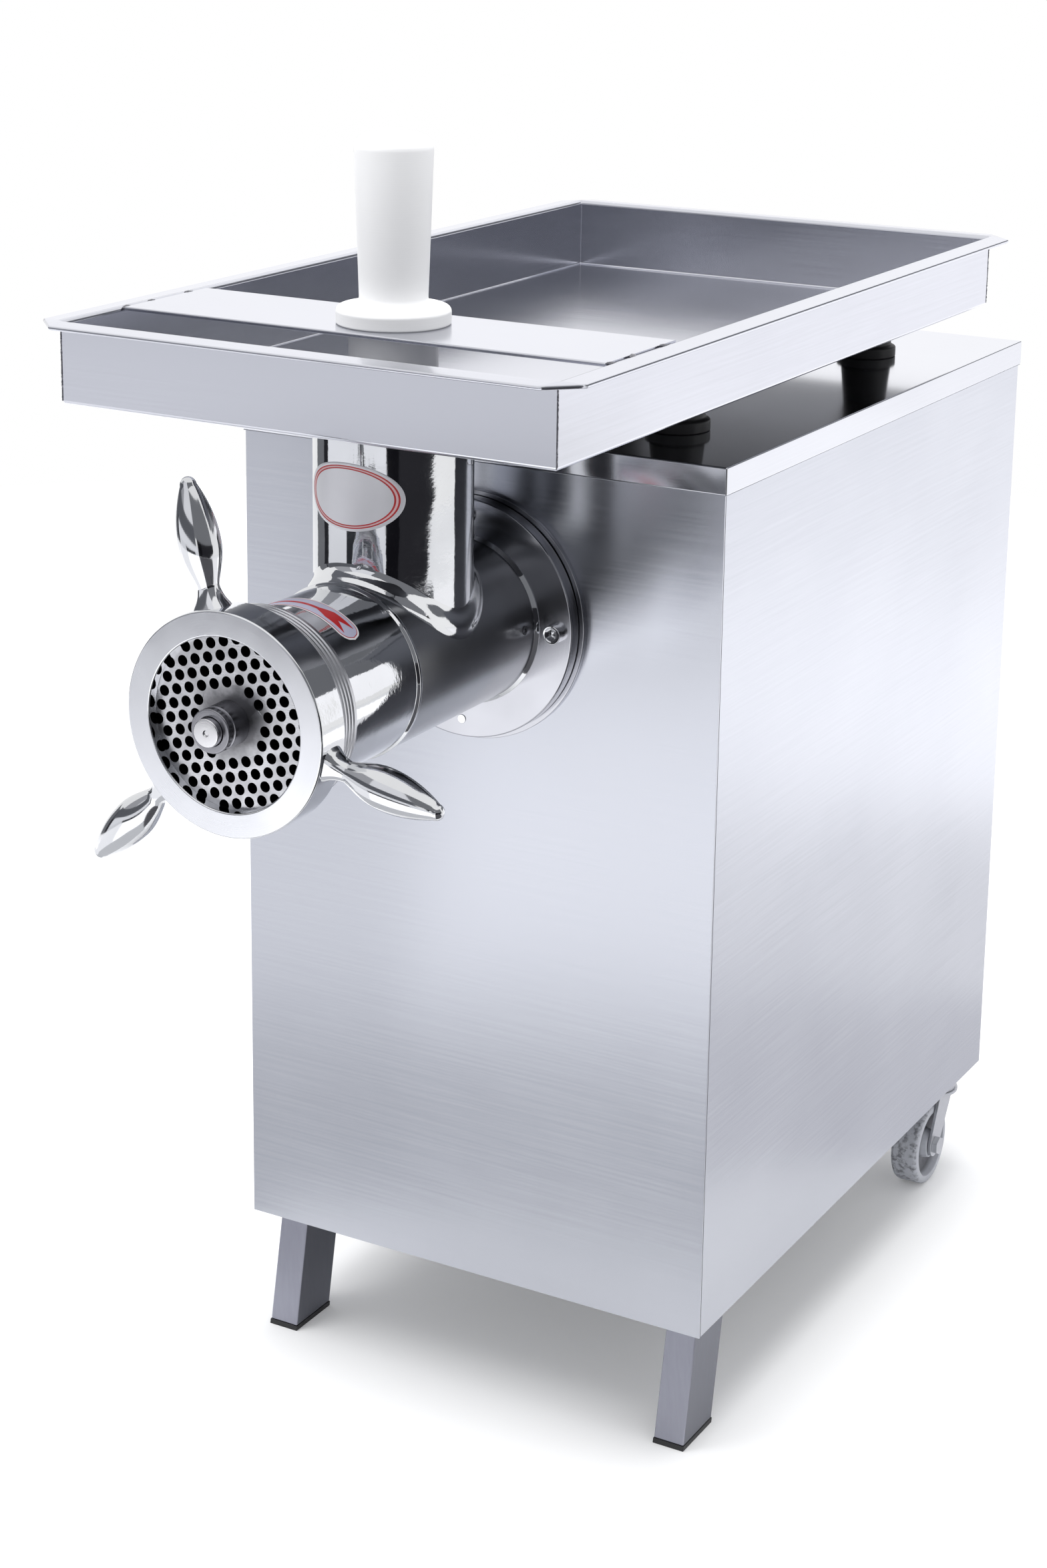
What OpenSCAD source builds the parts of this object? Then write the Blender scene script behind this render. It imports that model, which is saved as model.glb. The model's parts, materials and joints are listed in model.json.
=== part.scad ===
// Floor-standing electric meat grinder: a steel cabinet on two raked legs and two
// swivel casters, a feed tray with a plunger, and a size 42 grinding head.
// X runs across the front, +Y runs from the head to the back, +Z is up.
// Places are worked out with y = 0 on the front of the cabinet, and grounded()
// then centres the whole machine over the origin.

/* [Cabinet] */
// Width across the side panels
cab_w = 416; // [400:1:520]
// Depth from the front panel to the rear panel
cab_d = 600; // [590:1:720]
// Height of the cabinet from its base to the top of the lid
cab_h = 691; // [670:1:800]
// Gap between the floor and the base of the cabinet
ground_gap = 104; // [100:1:140]
// Thickness of the panels and the lid
sheet_t = 1.5; // [1:0.1:3]
// Thickness of the base plate
base_t = 3; // [2:0.5:6]
// Height of the folded edge round the lid
lid_skirt = 21; // [12:1:40]
// Side of the angle iron in the inner frame
angle_leg = 25; // [20:1:35]
// Thickness of the angle iron
angle_t = 3; // [2:0.5:4]

/* [Front legs] */
// Width of a leg across the machine
leg_w = 26; // [20:1:40]
// Depth of a leg from front to back
leg_d = 50; // [30:1:70]
// Wall of the leg tube
leg_wall = 2; // [1:0.5:4]
// Distance from the side of the cabinet to the outer face of a leg
leg_inset = 13; // [5:1:60]
// How far the foot of a leg stands in front of its top
leg_rake = 20; // [0:1:40]
// How far back the front of the leg is at the floor
leg_y = 4; // [0:1:20]
// Thickness of the rubber pad under a leg
pad_t = 4; // [2:0.5:8]

/* [Casters] */
// Radius of a caster wheel
wheel_r = 38; // [30:1:40]
// Width of a caster wheel
wheel_w = 26; // [18:1:32]
// Distance from the side of the cabinet to the middle of a caster
caster_inset = 34; // [32:1:70]
// Distance from the rear panel forward to the swivel axis
caster_back = 32; // [32:1:60]
// Trail between the swivel axis and the axle
caster_trail = 28; // [15:1:40]
// Side of the square mounting plate of a caster
caster_plate_side = 62; // [54:1:64]
// Thickness of the caster mounting plate
caster_plate_t = 3; // [2:0.5:4]
// Distance between neighbouring mounting screws of a caster
caster_pcd_side = 48; // [46:1:48]
// Thickness of the pressed fork
fork_t = 2.5; // [2:0.1:3]
// Radius of the axle bolt
axle_r = 5; // [4:0.5:6]

/* [Head] */
// Distance from the top of the lid down to the head's axis
axis_drop = 139; // [130:1:145]
// Outer radius of the barrel
barrel_r = 64; // [62:0.5:66]
// Radius of the worm's bore
bore_r = 56; // [54:0.5:57]
// Distance from the cabinet to the back of the grinding plate
plate_back = 302; // [292:1:330]
// Diameter of the grinding plate
plate_d = 130; // [129:0.5:131]
// Thickness of the grinding plate
plate_t = 18; // [14:1:22]
// Diameter of the holes in the grinding plate
hole_d = 7.8; // [4:0.1:9]
// Distance between neighbouring holes in the grinding plate
hole_pitch = 10.65; // [10.5:0.05:16]
// Turn of the hole pattern about the axis
hole_turn = 15.6; // [0:0.1:60]
// Outer radius of the bush in the middle of the grinding plate
bush_r = 15.5; // [14:0.5:18]
// How far the bush stands in front of the grinding plate
bush_out = 23; // [4:1:24]
// Thickness of the knife
knife_t = 14; // [10:1:18]
// Radius swept by the knife
knife_r = 58; // [50:0.5:59]
// Width of one blade of the knife
blade_w = 17; // [12:1:20]
// Side of the square that drives the knife
knife_square = 26; // [20:1:27]
// Radius of the pin in front of the worm
pin_r = 10; // [8:0.5:11]
// How far the pin stands in front of the bush
pin_out = 5; // [2:0.5:12]
// Outer radius of the threaded nose of the barrel
nose_r = 71.5; // [70.5:0.5:73]
// Length of nose seen behind the ring nut
nose_bare = 16; // [10:1:24]
// Pitch of the thread on the nose
thread_pitch = 6; // [4:0.5:8]
// Depth of the thread on the nose
thread_depth = 1.6; // [0.8:0.1:2.2]

/* [Ring nut] */
// Outer radius of the ring nut
ring_r = 78.7; // [77.5:0.1:84]
// Length of the ring nut along the axis
ring_len = 28; // [24:0.5:40]
// Radius of the opening in front of the plate
ring_open_r = 61; // [58:0.5:62]
// Thickness of the lip that holds the plate
ring_lip = 8; // [5:0.5:10]
// Distance from the axis to the tip of a handle
handle_tip_r = 167; // [150:1:172]
// Largest radius of a handle
handle_r = 14.5; // [12:0.5:16]
// Radius of the neck of a handle
handle_neck_r = 7.5; // [6:0.5:10]
// Turn of the first handle from the right-hand side
handle_turn = 105; // [0:1:119]

/* [Feed tube and flange] */
// Outer radius of the feed tube
tube_r = 58; // [56:0.5:60]
// Wall of the feed tube
tube_wall = 4; // [2:0.5:6]
// Distance from the cabinet to the middle of the feed tube
tube_y = 115; // [110:1:125]
// Radius of the flange on the head
flange_r = 93.75; // [90:0.25:96]
// Thickness of the flange
flange_t = 12; // [8:1:16]
// Radius of the disc behind the flange
disc_r = 97.5; // [97:0.5:104]
// Thickness of the disc behind the flange
disc_t = 4; // [2:0.5:6]
// Radius of the circle of flange bolts
bolt_circle_r = 80; // [79:0.5:81]
// Radius of a flange bolt's head
bolt_head_r = 7.25; // [6:0.25:8]
// Height of a flange bolt's head
bolt_head_h = 7; // [4:0.5:9]
// Radius of a flange bolt's shank
bolt_r = 4.5; // [3:0.5:5]

/* [Worm] */
// Radius of the worm's core
core_r = 26; // [20:1:34]
// Pitch of the worm's flight
flight_pitch = 62; // [50:1:90]
// Thickness of the flight at its root
flight_root_t = 14; // [8:1:18]
// Thickness of the flight at its edge
flight_edge_t = 7; // [4:1:9]
// Side of the square tail that the shaft drives
tail_square = 26; // [20:1:28]
// Radius of the round tail through the back of the barrel
tail_r = 20; // [19:0.5:22]

/* [Gearbox] */
// Module of the gear teeth
gear_module = 3; // [3:1:3]
// Teeth on the large gear
gear_teeth = 60; // [60:1:60]
// Teeth on the pinion
pinion_teeth = 18; // [18:1:18]
// Width of the large gear
gear_w = 30; // [20:1:36]
// Depth of the gearbox from front to back
gearbox_d = 100; // [90:1:108]
// Thickness of the gearbox's front wall and rear cover
gearbox_wall = 14; // [12:1:16]
// Thickness of the gearbox's side walls
gearbox_side = 8; // [6:1:10]
// Radius of the output shaft
output_r = 25; // [24:0.5:26]
// Outer radius of an output bearing
output_bearing_r = 40; // [36:1:44]
// Radius of the pinion shaft
pinion_shaft_r = 12; // [10:0.5:13]
// Outer radius of a pinion bearing
pinion_bearing_r = 24; // [22:1:26]

/* [Belt drive and motor] */
// Radius of the driven pulley
driven_r = 104; // [90:1:108]
// Radius of the motor pulley
motor_pulley_r = 44; // [40:1:55]
// Radius of the bore through the motor pulley
motor_shaft_r = 12; // [10:0.5:14]
// Width of a pulley
pulley_w = 34; // [32:1:40]
// Width of one belt
belt_w = 12; // [10:0.5:12]
// Thickness of one belt
belt_t = 8; // [6:0.5:9]
// Distance from the gearbox to the pulleys
pulley_gap = 17; // [14:1:24]
// Height of the motor shaft above its feet
motor_shaft_h = 90; // [88:1:100]
// Radius of the motor over its fins
motor_r = 86; // [82:1:87]
// Length of the motor's finned body
motor_len = 180; // [150:1:200]
// Radius of the rotor core
rotor_r = 50; // [40:1:56]
// Distance from the pulleys to the motor
motor_gap = 26; // [20:1:40]
// Depth of the motor's fan cover
cowl_d = 50; // [44:1:60]
// Height of the rails under the motor
rail_h = 26; // [20:1:40]

/* [Tray] */
// Inside-to-inside width of the tray plus its walls
tray_w = 400; // [380:1:440]
// Length of the tray's basin
tray_len = 769; // [740:1:800]
// Depth of the tray's basin
tray_h = 60; // [40:1:80]
// Thickness of the tray's sheet
tray_t = 1.5; // [1:0.1:2.5]
// Distance from the cabinet's front to the front of the basin
tray_front = 237; // [220:1:250]
// Width of the tray's lip
lip_w = 19; // [12:1:30]
// Thickness of the folded edge of the lip
lip_drop = 3; // [2:0.5:12]
// Width of the sheet that is folded back under the lip
hem_w = 9; // [4:1:14]
// Corner cut of the lip
lip_chamfer = 24; // [16:1:30]
// Length of the collar that drops into the feed tube
collar_len = 20; // [10:1:40]
// Width of the bridge over the throat
bridge_w = 102; // [90:1:120]
// Thickness of the bridge
bridge_t = 2; // [1.5:0.5:4]
// Height of the bridge's turned-down edges
bridge_edge = 7; // [4:1:12]

/* [Rubber feet of the tray] */
// Height of a foot, which sets the gap over the lid
foot_h = 41; // [30:1:50]
// Radius of a foot at the bottom
foot_r = 25; // [18:1:30]
// Radius of a foot at the top
foot_top_r = 18; // [12:1:18]
// Distance from the side of the cabinet to the middle of a foot
foot_inset = 89; // [60:1:110]
// Distance from the cabinet's front to the front feet
foot_front_y = 100; // [90:1:160]
// Distance from the cabinet's back to the rear feet
foot_back = 137; // [80:1:200]

/* [Plunger] */
// Radius of the plunger's stopper disc
stop_disc_r = 41; // [38:0.5:46]
// Thickness of the stopper disc
stop_disc_t = 13; // [8:1:18]
// Radius of the plunger below the disc
plunger_r = 32; // [28:0.5:34]
// Length of the plunger below the disc
plunger_len = 160; // [100:1:165]
// Radius of the grip where it leaves the disc
grip_r = 24; // [18:1:26]
// Largest radius of the grip
grip_top_r = 28.4; // [26.5:0.1:32]
// Length of the grip above the disc
grip_len = 120; // [90:1:140]

/* [Controls and rear] */
// Width of the switch plate
switch_w = 58; // [50:1:70]
// Height of the switch plate
switch_h = 104; // [96:1:120]
// Depth of the switch box behind the side panel
switch_d = 48; // [40:1:60]
// Distance from the cabinet's front to the middle of the switch plate
switch_y = 96; // [80:1:200]
// Distance from the lid down to the middle of the switch plate
switch_drop = 95; // [90:1:200]
// Radius of a button
button_r = 14; // [12:0.5:16]
// How far a button stands out
button_out = 5; // [4.5:0.5:6]
// How far a button is pushed in
button_travel = 4; // [3:0.5:4]
// Number of louvres in each column of the rear panel
louvre_rows = 8; // [3:1:10]
// Length of one louvre
louvre_len = 120; // [80:1:130]
// Distance between neighbouring louvres
louvre_pitch = 24; // [20:1:30]
// Radius of the cable gland
gland_r = 13; // [10:1:16]
// How far the cable gland stands out
gland_out = 24; // [16:1:40]

/* [Hidden] */
$fn = 96;
small_fn = 48;
// Running gap between bodies, seat gap between fixed pieces, and cutting overshoot
run_gap = 0.3;
seat_gap = 0.05;
over = 1;
half_w = cab_w / 2;
lid_z = ground_gap + cab_h;
axis_z = lid_z - axis_drop;
panel_top = lid_z - sheet_t;
inner_half = half_w - sheet_t;
rear_inner = cab_d - sheet_t;
base_top = ground_gap + base_t;
lid_gap = 0.2;

// Places along the head's axis
plate_front = -plate_back - plate_t;
bush_front = plate_front - bush_out;
pin_front = bush_front - pin_out;
ring_front = plate_front - ring_lip;
ring_back = ring_front + ring_len;
nose_proud = 2;
nose_front = plate_front + nose_proud;
nose_back = ring_back + nose_bare;
plate_bore_r = plate_d / 2 + 0.2;
knife_back = -plate_back + knife_t;
flange_back = -disc_t;
flange_front = flange_back - flange_t;
worm_back = flange_front - 2;
thread_land = nose_r - thread_depth;
hub_hole_r = 30;

// Machine centred over the origin
rear_most = cab_d + gland_out;
y_shift = -(pin_front + rear_most) / 2;

// Gearbox places
gear_r = gear_module * gear_teeth / 2;
pinion_r = gear_module * pinion_teeth / 2;
pinion_z = axis_z - gear_r - pinion_r;
gearbox_y = sheet_t;
gearbox_back = gearbox_y + gearbox_d;
gear_y = gearbox_y + (gearbox_d - gear_w) / 2;
gearbox_margin = 4;
gearbox_half = gear_r + gear_module + gearbox_margin + gearbox_side;
gearbox_top = axis_z + gearbox_half;
gearbox_bottom = pinion_z - pinion_r - gear_module - gearbox_margin - gearbox_side;
bearing_w = gearbox_wall - 2;

// Belt and motor places
pulley_y = gearbox_back + pulley_gap;
pulley_back = pulley_y + pulley_w;
groove_gap = 0.4;
belt_ys = [for (side = [-1, 1]) pulley_y + pulley_w / 2 + side * (belt_w / 2 + 2)];
motor_z = base_top + rail_h + motor_shaft_h;
belt_span = pinion_z - motor_z;
motor_y = pulley_back + motor_gap;
bell_t = 12;
motor_back = motor_y + bell_t + motor_len;
bell_back = motor_back + bell_t;
cowl_back = bell_back + cowl_d;
fan_r = motor_r - 16;
fan_w = 22;
fan_start = 6;
shaft_end_gap = 14;
fin_count = 24;
fin_depth = 6;
motor_foot_x = 70;
motor_foot_w = 36;
motor_foot_t = 10;
motor_bolt_r = 4;
motor_bolt_below = 9;

// Tray places
foot_x = half_w - foot_inset;
foot_rear_y = cab_d - foot_back;
tray_z = lid_z + foot_h;
tray_top = tray_z + tray_h;
tray_half = tray_w / 2;
tray_back = tray_len - tray_front;
throat_r = tube_r - tube_wall;
collar_r = throat_r - run_gap;
tube_top = tray_z - run_gap;
bridge_hole_r = plunger_r + 0.5;
bridge_end_gap = 1.4;
tack_r = 2.2;

// Casters
caster_x = half_w - caster_inset;
caster_y = cab_d - caster_back;
caster_hole_r = 3;
fork_crown_z = 2 * wheel_r + 6;
race_z = fork_crown_z + fork_t + run_gap;
race_r = 22;
wheel_gap = 1;
kingpin_r = 6;

// Controls
switch_z = lid_z - switch_drop;
plate_out = 3;
button_z = switch_h / 4;

// Shapes in the X-Z plane, extruded from y0 to y1
module along_y(y0, y1) {
    translate([0, y1, 0]) rotate([90, 0, 0]) linear_extrude(y1 - y0) children();
}

// Shapes in the Y-Z plane, extruded from x0 to x1
module along_x(x0, x1) {
    translate([x0, 0, 0]) rotate([90, 0, 90]) linear_extrude(x1 - x0) children();
}

// Round bar parallel to Y
module rod_y(r, y0, y1, z = axis_z, x = 0) {
    translate([x, y1, z]) rotate([90, 0, 0]) cylinder(r = r, h = y1 - y0);
}

// Solid of revolution about the head's axis, from points [radius, y]
module turned(points) {
    translate([0, 0, axis_z]) rotate([-90, 0, 0]) rotate_extrude() polygon(points);
}

// Machine moved so that its middle stands over the origin
module grounded() {
    translate([0, y_shift, 0]) children();
}

// Socket-head screw parallel to Y, with its head towards -Y
module socket_screw(r, head_r, head_h, len, socket = 0.55) {
    rotate([-90, 0, 0]) {
        difference() {
            translate([0, 0, -head_h]) cylinder(r = head_r, h = head_h, $fn = small_fn);
            translate([0, 0, -head_h - over]) cylinder(r = head_r * socket,
                h = head_h * 0.6 + over, $fn = 6);
        }
        cylinder(r = r, h = len, $fn = small_fn);
    }
}

// Cabinet ------------------------------------------------------------------

module front_panel() {
    color("silver") grounded() difference() {
        translate([-half_w, 0, ground_gap]) cube([cab_w, sheet_t, cab_h - sheet_t]);
        rod_y(hub_hole_r, -over, sheet_t + over);
        for (turn = [0:90:270])
            translate([0, 0, axis_z]) rotate([0, turn, 0])
                rod_y(bolt_r + run_gap, -over, sheet_t + over, 0, bolt_circle_r);
    }
}

module side_sheet() {
    translate([inner_half, sheet_t, ground_gap])
        cube([sheet_t, cab_d - sheet_t, cab_h - sheet_t]);
}

module side_panel_r() {
    color("silver") grounded() side_sheet();
}

module side_panel_l() {
    color("silver") grounded() difference() {
        mirror([1, 0, 0]) side_sheet();
        translate([-half_w - over, switch_y, switch_z])
            cube([2 * over + 2 * sheet_t, 2 * (switch_w / 2 - 6), switch_h - 12], center = true);
    }
}

louvre_h = 7;
louvre_out = 5;
louvre_z = ground_gap + cab_h * 0.3;

module louvre_places() {
    for (side = [-1, 1], row = [0:louvre_rows - 1])
        translate([side * cab_w / 4, cab_d, louvre_z + row * louvre_pitch]) children();
}

rear_screw_x = inner_half - angle_leg / 2;
panel_screw_r = 2;
panel_head_r = 4.5;
panel_head_h = 2.6;
rear_screw_zs = [for (part = [0.06, 0.5, 0.92]) ground_gap + part * cab_h];
gland_x = -cab_w / 4;
gland_rise = 70;
gland_z = ground_gap + gland_rise;

module rear_panel() {
    panel_half = inner_half - lid_gap;
    color("silver") grounded() difference() {
        union() {
            translate([-panel_half, rear_inner, base_top])
                cube([2 * panel_half, sheet_t, panel_top - base_top]);
            louvre_places() along_x(-louvre_len / 2, louvre_len / 2)
                polygon([[-sheet_t, 0], [0, 0], [louvre_out, 3], [louvre_out, 4.5],
                    [0, louvre_h + 3], [-sheet_t, louvre_h + 3]]);
        }
        louvre_places() along_x(-louvre_len / 2 + 2, louvre_len / 2 - 2)
            polygon([[-sheet_t - over, -0.5], [-sheet_t, -0.5], [louvre_out - 1, 2],
                [louvre_out - 1, 3.5], [0, louvre_h], [-sheet_t - over, louvre_h]]);
        for (side = [-1, 1], z = rear_screw_zs)
            rod_y(panel_screw_r + run_gap, rear_inner - over, cab_d + over, z,
                side * rear_screw_x);
        rod_y(gland_r * 0.7 + seat_gap, rear_inner - over, cab_d + over, gland_z, gland_x);
    }
}

module panel_screws() {
    color("gainsboro") grounded() for (side = [-1, 1], z = rear_screw_zs)
        translate([side * rear_screw_x, cab_d, z]) mirror([0, 1, 0])
            socket_screw(panel_screw_r, panel_head_r, panel_head_h, sheet_t + angle_t, 0.5);
}

module lid() {
    skirt_half = half_w + lid_gap + sheet_t;
    color("gainsboro") grounded() difference() {
        translate([-skirt_half, -lid_gap - sheet_t, lid_z - lid_skirt])
            cube([2 * skirt_half, cab_d + 2 * lid_gap + 2 * sheet_t, lid_skirt]);
        translate([-half_w - lid_gap, -lid_gap, lid_z - lid_skirt - over])
            cube([cab_w + 2 * lid_gap, cab_d + 2 * lid_gap, lid_skirt - sheet_t + over]);
    }
}

module base_plate() {
    color("silver") grounded() difference() {
        translate([-inner_half + lid_gap, sheet_t + lid_gap, ground_gap])
            cube([2 * (inner_half - lid_gap), cab_d - 2 * sheet_t - 2 * lid_gap, base_t]);
        for (side = [-1, 1]) translate([side * caster_x, caster_y, ground_gap - over])
            caster_bolt_places()
                cylinder(r = caster_hole_r, h = base_t + 2 * over, $fn = small_fn);
    }
}

// Angle-iron posts in the corners, a ring of rails under the lid, cross bars over
// the tray's feet, and a sill that carries the gearbox
module inner_frame() {
    frame_half = inner_half - lid_gap;
    y0 = sheet_t + lid_gap;
    y1 = rear_inner - lid_gap;
    rail_z = panel_top - angle_leg;
    color("dimgray") grounded() difference() {
        union() {
            for (side = [-1, 1]) {
                for (end = [0, 1]) translate([side * frame_half, end == 0 ? y0 : y1, 0])
                    mirror([side > 0 ? 1 : 0, 0, 0]) mirror([0, end, 0])
                        translate([0, 0, base_top]) {
                            cube([angle_leg, angle_t, panel_top - base_top]);
                            cube([angle_t, angle_leg, panel_top - base_top]);
                        }
                translate([side > 0 ? frame_half - angle_t : -frame_half, y0, rail_z])
                    cube([angle_t, y1 - y0, angle_leg]);
            }
            for (y = [y0, y1 - angle_t]) translate([-frame_half, y, rail_z])
                cube([2 * frame_half, angle_t, angle_leg]);
            for (y = [foot_front_y, foot_rear_y])
                translate([-frame_half, y - angle_leg / 2, panel_top - angle_t])
                    cube([2 * frame_half, angle_leg, angle_t]);
            translate([-frame_half, y0, gearbox_bottom - angle_leg])
                cube([2 * frame_half, angle_leg, angle_leg]);
        }
        for (side = [-1, 1], z = rear_screw_zs)
            rod_y(2 + seat_gap, y1 - angle_t - over, y1 + over, z, side * rear_screw_x);
    }
}

// Legs ---------------------------------------------------------------------

leg_x = half_w - leg_inset - leg_w;

// Side outline of a raked bar between two heights
function raked(z0, z1, inset) = [
    [leg_y + leg_rake * z0 / ground_gap + inset, z0],
    [leg_y + leg_rake * z0 / ground_gap + leg_d - inset, z0],
    [leg_y + leg_rake * z1 / ground_gap + leg_d - inset, z1],
    [leg_y + leg_rake * z1 / ground_gap + inset, z1]];

module front_leg() {
    difference() {
        along_x(leg_x, leg_x + leg_w) polygon(raked(pad_t, ground_gap, 0));
        along_x(leg_x + leg_wall, leg_x + leg_w - leg_wall)
            polygon(raked(pad_t + leg_wall, ground_gap + over, leg_wall));
    }
}

module front_leg_r() {
    color("lightgray") grounded() front_leg();
}

module front_leg_l() {
    color("lightgray") grounded() mirror([1, 0, 0]) front_leg();
}

module leg_pad() {
    along_x(leg_x - 0.5, leg_x + leg_w + 0.5) polygon(raked(0, pad_t, -0.5));
}

module leg_pads() {
    color("black") grounded() for (side = [0, 1]) mirror([side, 0, 0]) leg_pad();
}

// Casters ------------------------------------------------------------------

module caster_bolt_places() {
    for (x = [-1, 1], y = [-1, 1])
        translate([x * caster_pcd_side / 2, y * caster_pcd_side / 2, 0]) children();
}

// Children placed on the swivel axis of the caster on one side
module at_caster(side) {
    grounded() translate([side * caster_x, caster_y, 0]) children();
}

module caster_plate() {
    plate_z = ground_gap - caster_plate_t;
    difference() {
        union() {
            translate([-caster_plate_side / 2, -caster_plate_side / 2, plate_z])
                cube([caster_plate_side, caster_plate_side, caster_plate_t]);
            translate([0, 0, race_z]) cylinder(r = race_r, h = plate_z - race_z);
        }
        translate([0, 0, race_z - over]) cylinder(r = kingpin_r + run_gap,
            h = plate_z - race_z + over, $fn = small_fn);
        caster_bolt_places() translate([0, 0, plate_z - over])
            cylinder(r = caster_hole_r, h = caster_plate_t + 2 * over, $fn = small_fn);
    }
}

module caster_plates() {
    color("gainsboro") for (side = [-1, 1]) at_caster(side) caster_plate();
}

fork_inner = wheel_w / 2 + wheel_gap;
fork_eye_r = 11;

module caster_fork() {
    crown_r = race_r + 2;
    pin_top = ground_gap - caster_plate_t - run_gap;
    difference() {
        union() {
            translate([0, 0, fork_crown_z]) cylinder(r = crown_r, h = fork_t);
            for (side = [0, 1]) mirror([side, 0, 0])
                along_x(fork_inner, fork_inner + fork_t) {
                    polygon([[crown_r * 0.62, fork_crown_z + fork_t],
                        [-crown_r * 0.8, fork_crown_z + fork_t],
                        [-caster_trail - fork_eye_r, wheel_r + 6],
                        [-caster_trail - fork_eye_r, wheel_r],
                        [-caster_trail + fork_eye_r, wheel_r - 2]]);
                    translate([-caster_trail, wheel_r]) circle(r = fork_eye_r);
                }
        }
        translate([-fork_inner - fork_t - over, -caster_trail, wheel_r])
            rotate([0, 90, 0]) cylinder(r = axle_r + seat_gap,
                h = 2 * (fork_inner + fork_t + over), $fn = small_fn);
    }
    translate([0, 0, fork_crown_z]) cylinder(r = kingpin_r, h = pin_top - fork_crown_z,
        $fn = small_fn);
}

module caster_fork_l() {
    color("lightgray") at_caster(-1) caster_fork();
}

module caster_fork_r() {
    color("lightgray") at_caster(1) caster_fork();
}

// Bolt through the fork with its head on the outer side, and a nut inside
module caster_axle() {
    reach = fork_inner + fork_t;
    translate([0, -caster_trail, wheel_r]) rotate([0, 90, 0]) {
        translate([0, 0, -reach]) cylinder(r = axle_r, h = 2 * reach, $fn = small_fn);
        translate([0, 0, reach]) cylinder(r = axle_r * 1.75, h = 5, $fn = 6);
        translate([0, 0, -reach - 5]) cylinder(r = axle_r * 1.75, h = 5, $fn = 6);
    }
}

module caster_axle_l() {
    color("silver") at_caster(-1) mirror([1, 0, 0]) caster_axle();
}

module caster_axle_r() {
    color("silver") at_caster(1) caster_axle();
}

module caster_wheel() {
    half = wheel_w / 2;
    rim = wheel_r * 0.74;
    hub = axle_r + 7;
    web = half * 0.45;
    round = 4;
    translate([0, -caster_trail, wheel_r]) rotate([0, 90, 0]) rotate_extrude()
        polygon([[axle_r + run_gap, -half], [hub, -half], [hub + 1, -web], [rim - 1, -web],
            [rim, -half], [wheel_r - round, -half], [wheel_r - 1.2, -half + 1.6],
            [wheel_r, -half + round], [wheel_r, half - round], [wheel_r - 1.2, half - 1.6],
            [wheel_r - round, half], [rim, half], [rim - 1, web], [hub + 1, web],
            [hub, half], [axle_r + run_gap, half]]);
}

module caster_wheel_l() {
    color("whitesmoke") at_caster(-1) caster_wheel();
}

module caster_wheel_r() {
    color("whitesmoke") at_caster(1) caster_wheel();
}

// Grinding head --------------------------------------------------------------

weld_y = -182;
sleeve_r = barrel_r - 0.5;

// Points of the thread's outline, from y0 to y1, as flat-topped ridges
function thread_points(y0, y1) = [for (y = [y0:thread_pitch:y1 - thread_pitch]) each [
    [nose_r, y], [nose_r, y + thread_pitch * 0.4],
    [thread_land, y + thread_pitch * 0.55], [thread_land, y + thread_pitch * 0.85]]];

key_r = 3;

module head_barrel() {
    color("gainsboro") grounded() {
        difference() {
            turned(concat([[plate_bore_r, nose_front], [nose_r - 1, nose_front]],
                thread_points(nose_front + 1, nose_back),
                [[nose_r, nose_back - 1], [nose_r - 1, nose_back], [sleeve_r, nose_back],
                [sleeve_r, weld_y - 4], [sleeve_r + 1.5, weld_y - 3], [sleeve_r + 2, weld_y],
                [sleeve_r + 1.5, weld_y + 3], [barrel_r, weld_y + 4], [barrel_r, flange_back],
                [tail_r + run_gap, flange_back], [tail_r + run_gap, flange_front],
                [bore_r, flange_front], [bore_r, knife_back + 1], [knife_r + 2, knife_back + 1],
                [knife_r + 2, -plate_back], [plate_bore_r, -plate_back]]));
            translate([0, -tube_y, axis_z]) cylinder(r = throat_r, h = barrel_r + over);
        }
        difference() {
            rod_y(key_r, nose_front, -plate_back, axis_z - plate_bore_r + 0.5);
            rod_y(plate_bore_r - 2.5, nose_front - over, -plate_back + over);
            difference() {
                rod_y(nose_r, nose_front - over, -plate_back + over);
                rod_y(plate_bore_r + 0.5, nose_front - 2 * over, -plate_back + 2 * over);
            }
        }
    }
}

module feed_tube() {
    color("gainsboro") grounded() difference() {
        translate([0, -tube_y, axis_z]) cylinder(r = tube_r, h = tube_top - axis_z);
        translate([0, -tube_y, axis_z - over]) cylinder(r = throat_r, h = tray_z);
        rod_y(barrel_r + seat_gap, -tube_y - tube_r - over, -tube_y + tube_r + over);
    }
}

module bolt_places() {
    for (turn = [0:90:270]) translate([0, 0, axis_z]) rotate([0, turn, 0])
        translate([bolt_circle_r, 0, 0]) children();
}

module head_flange() {
    relief = 1.2;
    rim_in = 4;
    color("gainsboro") grounded() difference() {
        turned([[barrel_r + seat_gap, flange_front], [flange_r - 1, flange_front],
            [flange_r, flange_front + 1], [flange_r, flange_back - relief],
            [flange_r - rim_in, flange_back - relief], [flange_r - rim_in, flange_back],
            [barrel_r + seat_gap, flange_back]]);
        bolt_places() rod_y(bolt_r + run_gap, flange_front - over, over, 0);
    }
}

module mounting_disc() {
    color("silver") grounded() difference() {
        rod_y(disc_r, -disc_t, 0);
        rod_y(hub_hole_r, -disc_t - over, over);
        bolt_places() rod_y(bolt_r + run_gap, -disc_t - over, over, 0);
    }
}

module flange_bolts() {
    color("gray") grounded() bolt_places() translate([0, flange_front, 0])
        socket_screw(bolt_r, bolt_head_r, bolt_head_h,
            gearbox_y + gearbox_wall - flange_front - 2);
}

// One turn of flight is cut into this many steps
flight_steps = 24;
flight_front = knife_back + 2;
flight_turns = (worm_back - flight_front - flight_root_t) / flight_pitch;

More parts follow.
